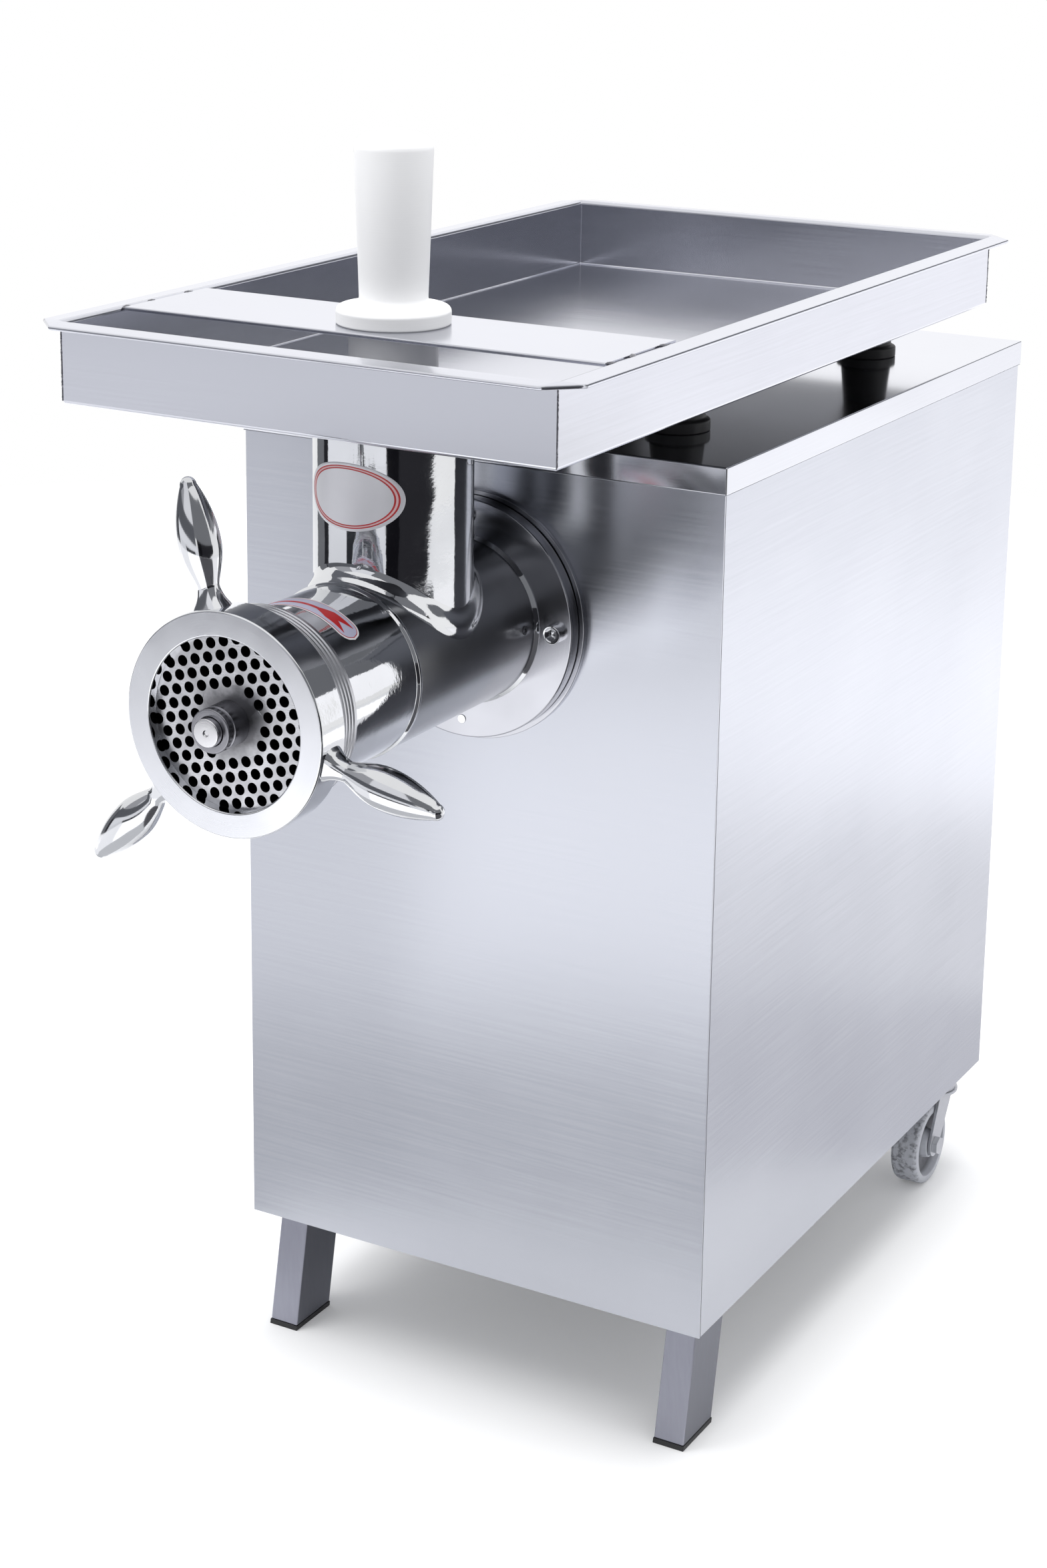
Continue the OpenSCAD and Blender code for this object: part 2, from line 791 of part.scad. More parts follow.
function flight_ring(i) = let (
    a = i * 360 / flight_steps,
    y = flight_front + flight_root_t / 2 + i * flight_pitch / flight_steps,
    root = core_r - 2,
    edge = bore_r - 1)
    [for (p = [[root, -flight_root_t / 2], [edge, -flight_edge_t / 2],
        [edge, flight_edge_t / 2], [root, flight_root_t / 2]])
        [p[0] * cos(a), y + p[1], p[0] * sin(a)]];

module flight() {
    n = floor(flight_turns * flight_steps);
    points = [for (i = [0:n]) each flight_ring(i)];
    sides = [for (i = [0:n - 1], k = [0:3]) let (j = (k + 1) % 4, a = i * 4)
        each [[a + k, a + 4 + k, a + j], [a + j, a + 4 + k, a + 4 + j]]];
    caps = [[0, 1, 2, 3], [for (k = [3:-1:0]) n * 4 + k]];
    translate([0, 0, axis_z]) polyhedron(points = points, faces = concat(sides, caps),
        convexity = 10);
}

socket_depth = 34;

module worm() {
    color("lightgray") grounded() {
        flight();
        rod_y(core_r, knife_back + seat_gap, worm_back);
        translate([0, -plate_back + run_gap, axis_z]) along_y(0, knife_t)
            square(knife_square, center = true);
        rod_y(tail_r, worm_back - over, flange_back);
        translate([0, 0, axis_z]) along_y(flange_back - over, flange_back + socket_depth)
            square(tail_square, center = true);
    }
}

// Hardened pin in the worm's nose, which runs in the plate's bush
module worm_pin() {
    color("dimgray") grounded() rod_y(pin_r, pin_front, -plate_back + run_gap);
}

module knife() {
    square_gap = 0.1;
    color("silver") grounded() translate([0, 0, axis_z])
        along_y(-plate_back + run_gap, knife_back) difference() {
            union() {
                circle(r = knife_square * 0.85);
                for (turn = [0:90:270]) rotate(turn + 20) polygon([[0, -blade_w / 2],
                    [knife_r - 6, -blade_w / 2], [knife_r - 1, blade_w / 2 - 4],
                    [knife_r - 3, blade_w / 2], [0, blade_w / 2]]);
            }
            square(knife_square + 2 * square_gap, center = true);
        }
}

// Gearbox --------------------------------------------------------------------

module output_shaft() {
    socket_gap = 0.1;
    color("gray") grounded() difference() {
        rod_y(output_r, flange_back + run_gap, gearbox_back);
        translate([0, 0, axis_z]) along_y(flange_back - over, flange_back + socket_depth + 1)
            square(tail_square + 2 * socket_gap, center = true);
    }
}

pressure_angle = 20;
backlash = 0.25;

// Point of an involute at unwound angle t, in degrees
function involute(base_r, t) = let (w = t * PI / 180)
    [base_r * (cos(t) + w * sin(t)), base_r * (sin(t) - w * cos(t))];

function turned_by(p, a) = [p[0] * cos(a) - p[1] * sin(a), p[0] * sin(a) + p[1] * cos(a)];

// Outline of a spur gear with a tooth centred on the first axis
function gear_outline(teeth) = let (
    pitch_r = gear_module * teeth / 2,
    base_r = pitch_r * cos(pressure_angle),
    tip_r = pitch_r + gear_module,
    root_r = pitch_r - 1.25 * gear_module,
    tip_t = sqrt(pow(tip_r / base_r, 2) - 1) * 180 / PI,
    start_t = root_r > base_r ? sqrt(pow(root_r / base_r, 2) - 1) * 180 / PI : 0,
    half = 90 / teeth - backlash / pitch_r * 90 / PI
        + tan(pressure_angle) * 180 / PI - pressure_angle,
    flank = [for (k = [0:4]) turned_by(involute(base_r, start_t + (tip_t - start_t) * k / 4),
        -half)],
    tooth = concat([turned_by([root_r, 0], -half - 0.3)], flank,
        [for (k = [4:-1:0]) [flank[k][0], -flank[k][1]]], [turned_by([root_r, 0], half + 0.3)]))
    [for (i = [0:teeth - 1], p = tooth) turned_by(p, 90 + i * 360 / teeth)];

web_hole_r = 13;
web_hole_ring_r = 56;

module drive_gear() {
    color("darkgray") grounded() difference() {
        translate([0, 0, axis_z]) along_y(gear_y, gear_y + gear_w)
            polygon(gear_outline(gear_teeth));
        rod_y(output_r + seat_gap, gear_y - over, gear_y + gear_w + over);
        for (turn = [0:60:300]) translate([0, 0, axis_z]) rotate([0, turn, 0])
            rod_y(web_hole_r, gear_y - over, gear_y + gear_w + over, 0, web_hole_ring_r);
    }
}

bearing_ys = [gearbox_y + 1, gearbox_back - gearbox_wall + 1];

module bearing(shaft_r, outer_r, z) {
    for (y = bearing_ys) difference() {
        rod_y(outer_r, y, y + bearing_w, z);
        rod_y(shaft_r + seat_gap, y - over, y + bearing_w + over, z);
    }
}

module output_bearings() {
    color("lightsteelblue") grounded() bearing(output_r, output_bearing_r, axis_z);
}

module pinion_bearings() {
    color("lightsteelblue") grounded() bearing(pinion_shaft_r, pinion_bearing_r, pinion_z);
}

cover_y = gearbox_back - gearbox_wall;
cover_screw_r = 2.5;
cover_head_r = 4;
cover_head_h = 4;
cover_screw_grip = 10;

module gearbox_block(y0, y1, inset) {
    translate([-gearbox_half + inset, y0, gearbox_bottom + inset])
        cube([2 * (gearbox_half - inset), y1 - y0, gearbox_top - gearbox_bottom - 2 * inset]);
}

cover_screw_places = [for (x = [-1, 1], z = [0, 0.5, 1])
    [x * (gearbox_half - gearbox_side / 2),
    gearbox_bottom + gearbox_side / 2 + z * (gearbox_top - gearbox_bottom - gearbox_side)]];

module gearbox_housing() {
    color("slategray") grounded() difference() {
        gearbox_block(gearbox_y, cover_y, 0);
        gearbox_block(gearbox_y + gearbox_wall, cover_y + over, gearbox_side);
        rod_y(hub_hole_r, gearbox_y - over, gearbox_y + gearbox_wall + over);
        rod_y(output_bearing_r + seat_gap, bearing_ys[0] - seat_gap,
            gearbox_y + gearbox_wall + over);
        rod_y(pinion_bearing_r + seat_gap, bearing_ys[0] - seat_gap,
            gearbox_y + gearbox_wall + over, pinion_z);
        bolt_places() rod_y(bolt_r + seat_gap, gearbox_y - over, gearbox_y + gearbox_wall - 1, 0);
        for (p = cover_screw_places)
            rod_y(cover_screw_r + seat_gap, cover_y - cover_screw_grip - 2, cover_y + over,
                p[1], p[0]);
    }
}

module gearbox_cover() {
    color("slategray") grounded() difference() {
        gearbox_block(cover_y, gearbox_back, 0);
        rod_y(output_bearing_r + seat_gap, cover_y - over, bearing_ys[1] + bearing_w + seat_gap);
        rod_y(output_r + 1, cover_y - over, gearbox_back + over);
        rod_y(pinion_bearing_r + seat_gap, cover_y - over, bearing_ys[1] + bearing_w + seat_gap,
            pinion_z);
        rod_y(pinion_shaft_r + 1, cover_y - over, gearbox_back + over, pinion_z);
        for (p = cover_screw_places)
            rod_y(cover_screw_r + seat_gap, cover_y - over, gearbox_back + over, p[1], p[0]);
    }
}

module cover_screws() {
    color("gray") grounded() for (p = cover_screw_places)
        translate([p[0], gearbox_back, p[1]]) mirror([0, 1, 0])
            socket_screw(cover_screw_r, cover_head_r, cover_head_h,
                gearbox_wall + cover_screw_grip);
}

module pinion_shaft() {
    color("darkgray") grounded() {
        rod_y(pinion_shaft_r, bearing_ys[0] + 1, pulley_back + 4, pinion_z);
        translate([0, 0, pinion_z]) along_y(gear_y - 2, gear_y + gear_w + 2)
            rotate(180 / pinion_teeth) polygon(gear_outline(pinion_teeth));
    }
}

// Belt drive -----------------------------------------------------------------

// Grooved pulley, bored for its shaft
module pulley(r, shaft_r, z) {
    groove_r = r - belt_t - groove_gap;
    difference() {
        rod_y(r, pulley_y, pulley_back, z);
        for (y = belt_ys) difference() {
            rod_y(r + over, y - belt_w / 2 - groove_gap, y + belt_w / 2 + groove_gap, z);
            rod_y(groove_r, pulley_y - over, pulley_back + over, z);
        }
        rod_y(shaft_r + seat_gap, pulley_y - over, pulley_back + over, z);
    }
}

module driven_pulley() {
    web_holes = 5;
    color("dimgray") grounded() difference() {
        pulley(driven_r, pinion_shaft_r, pinion_z);
        for (i = [0:web_holes - 1]) translate([0, 0, pinion_z])
            rotate([0, i * 360 / web_holes, 0])
                rod_y(20, pulley_y - over, pulley_back + over, 0, driven_r * 0.54);
    }
}

module motor_pulley() {
    color("dimgray") grounded() pulley(motor_pulley_r, motor_shaft_r, motor_z);
}

// Outline of a belt round both pulleys, the large one above the small one
function belt_outline(inset) = let (
    r1 = driven_r - inset,
    r2 = motor_pulley_r - inset,
    lean = asin((r1 - r2) / belt_span),
    steps = 24)
    concat(
        [for (k = [0:steps]) let (a = -lean + k * (180 + 2 * lean) / steps)
            [r1 * cos(a), belt_span + r1 * sin(a)]],
        [for (k = [0:steps]) let (a = 180 + lean + k * (180 - 2 * lean) / steps)
            [r2 * cos(a), r2 * sin(a)]]);

module drive_belts() {
    color("black") grounded() for (y = belt_ys)
        translate([0, 0, motor_z]) along_y(y - belt_w / 2, y + belt_w / 2) difference() {
            polygon(belt_outline(0));
            polygon(belt_outline(belt_t));
        }
}

// Motor ----------------------------------------------------------------------

air_gap = 0.6;
motor_body_r = motor_r - fin_depth;
fin_t = 3;
foot_end_gap = 15;
foot_web_t = 10;
foot_web_h = motor_shaft_h / 2;
terminal_side = 90;
terminal_h = 46;
terminal_sunk = 12;
motor_bolt_end = 40;

module motor_stator() {
    y0 = motor_y + bell_t;
    foot_z = motor_z - motor_shaft_h;
    color("steelblue") grounded() difference() {
        union() {
            rod_y(motor_body_r, y0, motor_back, motor_z);
            for (i = [0:fin_count - 1]) translate([0, 0, motor_z])
                rotate([0, i * 360 / fin_count, 0]) translate([-fin_t / 2, y0 + 2, 0])
                    cube([fin_t, motor_len - 4, motor_r]);
            for (side = [-1, 1])
                translate([side * motor_foot_x - motor_foot_w / 2, y0 + foot_end_gap, foot_z])
                    cube([motor_foot_w, motor_len - 2 * foot_end_gap, motor_foot_t]);
            for (side = [-1, 1])
                translate([side * (motor_foot_x - 12) - foot_web_t / 2, y0 + foot_end_gap,
                    foot_z])
                        cube([foot_web_t, motor_len - 2 * foot_end_gap, foot_web_h]);
            translate([-terminal_side / 2, y0 + (motor_len - terminal_side) / 3,
                motor_z + motor_body_r - terminal_sunk])
                    cube([terminal_side, terminal_side, terminal_h]);
        }
        rod_y(rotor_r + air_gap, y0 - over, motor_back + over, motor_z);
        motor_bolt_places() translate([0, 0, -over])
            cylinder(r = motor_bolt_r + seat_gap, h = motor_foot_t + 2 * over, $fn = small_fn);
    }
}

module motor_bolt_places() {
    for (side = [-1, 1], end = [motor_bolt_end, motor_len - motor_bolt_end])
        translate([side * (motor_foot_x + 8), motor_y + bell_t + end, motor_z - motor_shaft_h])
            children();
}

module motor_bell(y0) {
    difference() {
        rod_y(motor_body_r, y0, y0 + bell_t, motor_z);
        rod_y(motor_shaft_r + run_gap, y0 - over, y0 + bell_t + over, motor_z);
    }
}

module motor_front_bell() {
    color("steelblue") grounded() motor_bell(motor_y);
}

module motor_rear_bell() {
    color("steelblue") grounded() motor_bell(motor_back);
}

module fan_cowl() {
    cowl_t = 2;
    color("steelblue") grounded() difference() {
        rod_y(motor_body_r, bell_back, cowl_back, motor_z);
        rod_y(motor_body_r - cowl_t, bell_back - over, cowl_back - cowl_t, motor_z);
        for (ring = [26, 46, 64], turn = [0:30:330]) translate([0, 0, motor_z])
            rotate([0, turn, 0]) rod_y(5, cowl_back - cowl_t - over, cowl_back + over, 0, ring);
    }
}

module motor_rotor() {
    color("silver") grounded() {
        rod_y(motor_shaft_r, pulley_y - 2, cowl_back - shaft_end_gap, motor_z);
        rod_y(rotor_r, motor_y + bell_t + 12, motor_back - 12, motor_z);
    }
}

module motor_fan() {
    y0 = bell_back + fan_start;
    blade_count = 8;
    blade_t = 3;
    color("darkslategray") grounded() difference() {
        union() {
            rod_y(motor_shaft_r + 8, y0, y0 + fan_w, motor_z);
            rod_y(fan_r, y0, y0 + blade_t, motor_z);
            for (i = [0:blade_count - 1]) translate([0, 0, motor_z])
                rotate([0, i * 360 / blade_count, 0])
                    translate([-blade_t / 2, y0, motor_shaft_r + 2])
                        cube([blade_t, fan_w, fan_r - motor_shaft_r - 4]);
        }
        rod_y(motor_shaft_r + seat_gap, y0 - over, y0 + fan_w + over, motor_z);
    }
}

module motor_rails() {
    rail_w = motor_foot_w + 10;
    rail_wall = 3;
    color("dimgray") grounded() difference() {
        for (side = [-1, 1])
            translate([side * motor_foot_x - rail_w / 2, motor_y + bell_t, base_top])
                difference() {
                    cube([rail_w, motor_len, rail_h]);
                    translate([rail_wall, -over, -over])
                        cube([rail_w - 2 * rail_wall, motor_len + 2 * over, rail_h - rail_wall + over]);
                }
        motor_bolt_places() translate([0, 0, -motor_bolt_below])
            cylinder(r = motor_bolt_r + seat_gap, h = motor_bolt_below + over, $fn = small_fn);
    }
}

module motor_bolts() {
    color("gray") grounded() motor_bolt_places() {
        translate([0, 0, -motor_bolt_below]) cylinder(r = motor_bolt_r,
            h = motor_bolt_below + motor_foot_t, $fn = small_fn);
        for (z = [motor_foot_t, -motor_bolt_below]) translate([0, 0, z])
            cylinder(r = motor_bolt_r * 1.9, h = 5.5, $fn = 6);
    }
}

// Plate and ring nut ---------------------------------------------------------

bush_bore_r = pin_r + 0.15;
hole_rows = ceil(plate_d / hole_pitch);
hole_inner_r = bush_r + hole_d / 2 + 2.6;
hole_outer_r = plate_d / 2 - hole_d / 2 - 1.1;

// Middles of the holes on a triangular grid, between the bush and the rim
hole_places = [for (i = [-hole_rows:hole_rows], j = [-hole_rows:hole_rows])
    let (p = [hole_pitch * (i + j / 2), hole_pitch * j * sqrt(3) / 2])
    if (norm(p) >= hole_inner_r && norm(p) <= hole_outer_r) p];

module die_plate() {
    notch_r = key_r + run_gap + 0.2;
    color("silver") grounded() difference() {
        turned([[bush_r + seat_gap, plate_front], [plate_d / 2 - 1, plate_front],
            [plate_d / 2, plate_front + 1], [plate_d / 2, -plate_back],
            [bush_r + seat_gap, -plate_back]]);
        translate([0, 0, axis_z]) along_y(plate_front - over, -plate_back + over)
            rotate(hole_turn) for (p = hole_places) translate(p)
                circle(d = hole_d, $fn = small_fn);
        rod_y(notch_r, plate_front - over, -plate_back + over, axis_z - plate_bore_r + 0.5);
    }
}

// Bush pressed into the plate, with a turned groove near its front
module plate_bush() {
    groove_front = bush_front + 5;
    groove_back = groove_front + 2.6;
    color("dimgray") grounded()
        turned([[bush_bore_r, bush_front + 1], [bush_bore_r + 1, bush_front],
            [bush_r - 1, bush_front], [bush_r, bush_front + 1], [bush_r, groove_front],
            [bush_r - 1, groove_front + 0.6], [bush_r - 1, groove_back - 0.6],
            [bush_r, groove_back], [bush_r, -plate_back], [bush_bore_r, -plate_back]]);
}

ring_bore_r = nose_r + run_gap;
ring_boss_y = (ring_front + ring_back) / 2;

module ring_nut() {
    edge = 2.5;
    color("gainsboro") grounded()
        turned([[ring_open_r + 1.5, ring_front], [ring_r - edge, ring_front],
            [ring_r - 0.7, ring_front + 0.7], [ring_r, ring_front + edge],
            [ring_r, ring_back - 1.5], [ring_r - 1.5, ring_back], [ring_bore_r, ring_back],
            [ring_bore_r, plate_front], [ring_open_r, plate_front],
            [ring_open_r, ring_front + 1.5]]);
}

// Turned handle with a root that flares into the ring, flush with the ring's faces
handle_count = 3;
handle_step = 360 / handle_count;
flare_len = 14;
flare_r = 19;
flare_steps = 8;
body_steps = 16;
tip_cut = 4.5;
shoulder_drop = 1.2;

// Radius of the root at a distance from the neck towards the ring
function flare(d) = handle_neck_r + flare_r - sqrt(flare_r * flare_r - d * d);

// Radius of the body at a share of its length from the neck
function torpedo(s) = handle_neck_r
    + (handle_r - handle_neck_r) * sin(180 * min(1, s / 0.86))
    - (s > 0.86 ? (handle_neck_r - tip_cut) * (s - 0.86) / 0.14 : 0)
    - (s > 0.5 ? shoulder_drop * sin(180 * (s - 0.5)) : 0);

module ring_handle(turn) {
    neck = ring_r + flare_len;
    root = ring_r - 4;
    body_len = handle_tip_r - neck;
    color("gainsboro") grounded() translate([0, ring_boss_y, axis_z]) rotate([0, -turn, 0])
        difference() {
            rotate([0, 90, 0]) rotate_extrude($fn = small_fn) polygon(concat(
                [[0, root]],
                [for (k = [0:flare_steps]) let (u = root + (neck - root) * k / flare_steps)
                    [flare(neck - u), u]],
                [for (k = [1:body_steps]) let (s = k / body_steps)
                    [torpedo(s), neck + s * (body_len - 1.5)]],
                [[tip_cut - 2, handle_tip_r], [0, handle_tip_r]]));
            rotate([90, 0, 0]) translate([0, 0, -ring_len])
                cylinder(r = ring_r + seat_gap, h = 2 * ring_len);
            for (side = [0, 1]) mirror([0, side, 0])
                translate([0, ring_len / 2 - 1, -ring_r]) cube([2 * ring_r, ring_r, 2 * ring_r]);
        }
}

module ring_handle_1() {
    ring_handle(handle_turn);
}

module ring_handle_2() {
    ring_handle(handle_turn + handle_step);
}

module ring_handle_3() {
    ring_handle(handle_turn + 2 * handle_step);
}

// Tray -----------------------------------------------------------------------

// Outline of the lip with its corners cut off
function lip_outline(grow) = let (x = tray_half + grow, y0 = -tray_front - grow,
    y1 = tray_back + grow, c = lip_chamfer * (grow / lip_w) )
    [[-x + c, y0], [x - c, y0], [x, y0 + c], [x, y1 - c], [x - c, y1], [-x + c, y1],
    [-x, y1 - c], [-x, y0 + c]];

module tray() {
    color("gainsboro") grounded() difference() {
        union() {
            translate([-tray_half, -tray_front, tray_z]) cube([tray_w, tray_len, tray_h]);
            translate([0, 0, tray_top - tray_t]) linear_extrude(tray_t)
                polygon(lip_outline(lip_w));
            translate([0, 0, tray_top - lip_drop]) linear_extrude(lip_drop) difference() {
                polygon(lip_outline(lip_w));
                polygon(lip_outline(lip_w - hem_w));
            }
        }
        translate([-tray_half + tray_t, -tray_front + tray_t, tray_z + tray_t])
            cube([tray_w - 2 * tray_t, tray_len - 2 * tray_t, tray_h]);
        translate([0, -tube_y, tray_z - over])
            cylinder(r = collar_r - tray_t, h = tray_t + 2 * over);
    }
}

// Ring welded under the tray's floor, which centres it in the feed tube
module tray_collar() {
    color("gainsboro") grounded() translate([0, -tube_y, tray_z - collar_len]) difference() {
        cylinder(r = collar_r, h = collar_len);
        translate([0, 0, -over]) cylinder(r = collar_r - tray_t, h = collar_len + 2 * over);
    }
}

bridge_half = tray_half - tray_t - bridge_end_gap;

module bridge() {
    edge_t = bridge_t;
    color("lightgray") grounded() difference() {
        union() {
            translate([-bridge_half, -tube_y - bridge_w / 2, tray_top - bridge_t])
                cube([2 * bridge_half, bridge_w, bridge_t]);
            for (side = [0, 1]) translate([0, -tube_y, 0]) mirror([0, side, 0])
                translate([-bridge_half, -bridge_w / 2, tray_top - bridge_edge])
                    cube([2 * bridge_half, edge_t, bridge_edge]);
            for (side = [0, 1], place = [-1, 0, 1]) mirror([side, 0, 0])
                translate([bridge_half - over, -tube_y + place * bridge_w * 0.3,
                    tray_top - tack_r]) rotate([0, 90, 0])
                        cylinder(r = tack_r, h = bridge_end_gap + over, $fn = 24);
        }
        translate([0, -tube_y, tray_top - 2 * bridge_t])
            cylinder(r = bridge_hole_r, h = 3 * bridge_t);
    }
}

module tray_feet() {
    foot_base = 9;
    color([0.1, 0.1, 0.1]) grounded()
        for (side = [-1, 1], y = [foot_front_y, foot_rear_y])
            translate([side * foot_x, y, lid_z]) rotate_extrude()
                polygon([[0, 0], [foot_r - 1, 0], [foot_r, 1], [foot_r, foot_base - 1],
                    [foot_r - 1, foot_base], [foot_top_r + 1.5, foot_h - 3],
                    [foot_top_r, foot_h], [0, foot_h]]);
}

// Turned from one profile: shank, stopper disc and grip with a domed end
module plunger() {
    shank_end = 3;
    disc_z = tray_top;
    top_z = disc_z + stop_disc_t + grip_len;
    fillet = 5;
    color("white") grounded() translate([0, -tube_y, 0]) rotate_extrude()
        polygon(concat([[0, disc_z - plunger_len], [plunger_r - shank_end, disc_z - plunger_len],
            [plunger_r, disc_z - plunger_len + shank_end], [plunger_r, disc_z],
            [stop_disc_r - 1, disc_z], [stop_disc_r, disc_z + 1],
            [stop_disc_r, disc_z + stop_disc_t - 3],
            [stop_disc_r - 0.9, disc_z + stop_disc_t - 0.9],
            [stop_disc_r - 3, disc_z + stop_disc_t],
            [grip_r + fillet, disc_z + stop_disc_t],
            [grip_r + fillet * 0.3, disc_z + stop_disc_t + fillet * 0.3],
            [grip_r, disc_z + stop_disc_t + fillet]],
            [for (a = [0:10:90]) [grip_top_r * (1 - 0.35) + grip_top_r * 0.35 * cos(a),
                top_z - grip_top_r * 0.35 + grip_top_r * 0.35 * sin(a)]],
            [[0, top_z]]));
}

// Controls and cable entry ---------------------------------------------------

button_sunk = 15;
button_hole_d = button_sunk + button_travel + 1;

module switch_box() {
    inner_w = switch_w - 14;
    inner_h = switch_h - 14;
    color([0.13, 0.13, 0.14]) grounded() translate([-half_w, switch_y, switch_z])
        difference() {
            union() {
                translate([-plate_out, -switch_w / 2, -switch_h / 2])
                    cube([plate_out, switch_w, switch_h]);
                translate([-over, -inner_w / 2, -inner_h / 2])
                    cube([switch_d + over, inner_w, inner_h]);
            }
            for (z = [-button_z, button_z]) translate([-plate_out - over, 0, z])
                rotate([0, 90, 0]) cylinder(r = button_r + run_gap, h = plate_out + over + button_hole_d);
        }
}

module button(z) {
    grounded() translate([-half_w - plate_out - button_out, switch_y, switch_z + z])
        rotate([0, 90, 0]) rotate_extrude() polygon([[0, 0], [button_r - 1, 0], [button_r, 1],
            [button_r, button_out + button_sunk], [0, button_out + button_sunk]]);
}

module start_button() {
    color("green") button(button_z);
}

module stop_button() {
    color("red") button(-button_z);
}

module cable_gland() {
    bore = gland_r * 0.42;
    color([0.15, 0.15, 0.16]) grounded() translate([gland_x, cab_d, gland_z])
        rotate([-90, 0, 0]) difference() {
            union() {
                cylinder(r = gland_r, h = gland_out * 0.3, $fn = 6);
                rotate_extrude() polygon([[0, 0], [gland_r * 0.8, 0],
                    [gland_r * 0.8, gland_out * 0.65], [gland_r * 0.55, gland_out], [0, gland_out]]);
                translate([0, 0, -sheet_t - 8]) cylinder(r = gland_r * 0.7, h = sheet_t + 8 + over);
                translate([0, 0, -sheet_t - 6]) cylinder(r = gland_r, h = 6, $fn = 6);
            }
            translate([0, 0, -sheet_t - 8 - over]) cylinder(r = bore,
                h = gland_out + sheet_t + 8 + 2 * over);
        }
}

front_panel();
side_panel_l();
side_panel_r();
rear_panel();
panel_screws();
lid();
base_plate();
inner_frame();
front_leg_l();
front_leg_r();
leg_pads();
caster_plates();
caster_fork_l();
caster_fork_r();
caster_axle_l();
caster_axle_r();
caster_wheel_l();
caster_wheel_r();
head_barrel();
feed_tube();
head_flange();
mounting_disc();
flange_bolts();
worm();
worm_pin();
knife();
output_shaft();
drive_gear();
output_bearings();
gearbox_housing();
gearbox_cover();
cover_screws();
pinion_shaft();
pinion_bearings();
driven_pulley();
drive_belts();
motor_pulley();
motor_rotor();
motor_fan();
motor_stator();
motor_front_bell();
motor_rear_bell();
fan_cowl();
motor_rails();
motor_bolts();
die_plate();
plate_bush();
ring_nut();
ring_handle_1();
ring_handle_2();
ring_handle_3();
tray();
tray_collar();
bridge();
tray_feet();
plunger();
switch_box();
start_button();
stop_button();
cable_gland();
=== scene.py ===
import json
from math import cos, pi, radians, sin, sqrt, tan, tau

import bmesh
import bpy
from mathutils import Matrix, Vector


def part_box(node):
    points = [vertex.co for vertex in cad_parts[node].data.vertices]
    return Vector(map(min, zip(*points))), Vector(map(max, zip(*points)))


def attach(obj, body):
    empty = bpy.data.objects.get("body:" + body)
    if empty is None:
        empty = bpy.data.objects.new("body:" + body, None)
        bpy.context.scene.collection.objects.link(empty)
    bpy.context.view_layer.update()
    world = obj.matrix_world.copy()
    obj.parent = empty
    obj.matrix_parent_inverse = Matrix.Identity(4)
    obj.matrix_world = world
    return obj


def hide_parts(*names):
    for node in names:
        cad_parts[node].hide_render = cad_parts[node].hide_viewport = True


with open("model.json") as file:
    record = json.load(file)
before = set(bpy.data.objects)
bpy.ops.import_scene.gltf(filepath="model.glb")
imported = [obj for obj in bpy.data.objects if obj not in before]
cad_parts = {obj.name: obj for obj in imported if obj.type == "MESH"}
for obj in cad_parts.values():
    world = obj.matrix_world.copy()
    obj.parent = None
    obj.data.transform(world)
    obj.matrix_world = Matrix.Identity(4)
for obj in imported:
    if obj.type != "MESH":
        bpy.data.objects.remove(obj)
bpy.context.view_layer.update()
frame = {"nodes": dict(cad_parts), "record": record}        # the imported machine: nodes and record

scene = bpy.context.scene
record = frame["record"]
bodyOf = {node: body for body, nodes in record["behaviour"]["bodies"].items() for node in nodes}
slotOf = {part["node"]: part["material_slot"] for part in record["subparts"]}
print("frame loaded:", len(frame["nodes"]), "nodes")


def middleOf(node):      # centre of a node's box
    low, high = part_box(node)
    return (low + high) / 2


def halfWidth(node):     # the radius, for a turned part
    low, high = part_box(node)
    return (high.x - low.x) / 2


# camera
eye = {
    "place": (1.0783, -1.9811, 1.2560),
    "azimuth": 29.324,       # degrees, from the front towards the right
    "elevation": 14.452,
    "roll": 0.769,
    "lens": 66.995,
    "sensor": 36.0,
    "shiftY": -0.1492,
}


def setCamera():
    a, e, r = (radians(eye[key]) for key in ("azimuth", "elevation", "roll"))
    back = Vector((sin(a) * cos(e), -cos(a) * cos(e), sin(e)))
    right = Vector((cos(a), sin(a), 0))
    up = back.cross(right)
    right, up = cos(r) * right + sin(r) * up, cos(r) * up - sin(r) * right
    camera = bpy.data.objects.new("camera", bpy.data.cameras.new("camera"))
    camera.data.lens = eye["lens"]
    camera.data.sensor_width = eye["sensor"]
    camera.data.sensor_fit = "AUTO"
    camera.data.shift_y = eye["shiftY"]
    camera.data.clip_end = 50
    turn = Matrix((right, up, back)).transposed().to_4x4()
    camera.matrix_world = Matrix.Translation(eye["place"]) @ turn
    scene.collection.objects.link(camera)
    scene.camera = camera


setCamera()
print("camera set")


# writing node trees
class Wire:  # a node's output; sums and products of wires add Math nodes
    def __init__(self, bench, socket):
        self.bench = bench
        self.socket = socket

    def also(self, output):
        return Wire(self.bench, self.socket.node.outputs[output])


# the arithmetic signs, with a wire on either side
for word, operation in (("add", "ADD"), ("sub", "SUBTRACT"), ("mul", "MULTIPLY"),
                        ("truediv", "DIVIDE"), ("pow", "POWER")):
    def forward(self, other, operation=operation):
        return self.bench.maths(operation, self, other)

    def backward(self, other, operation=operation):
        return self.bench.maths(operation, other, self)

    setattr(Wire, f"__{word}__", forward)
    setattr(Wire, f"__r{word}__", backward)


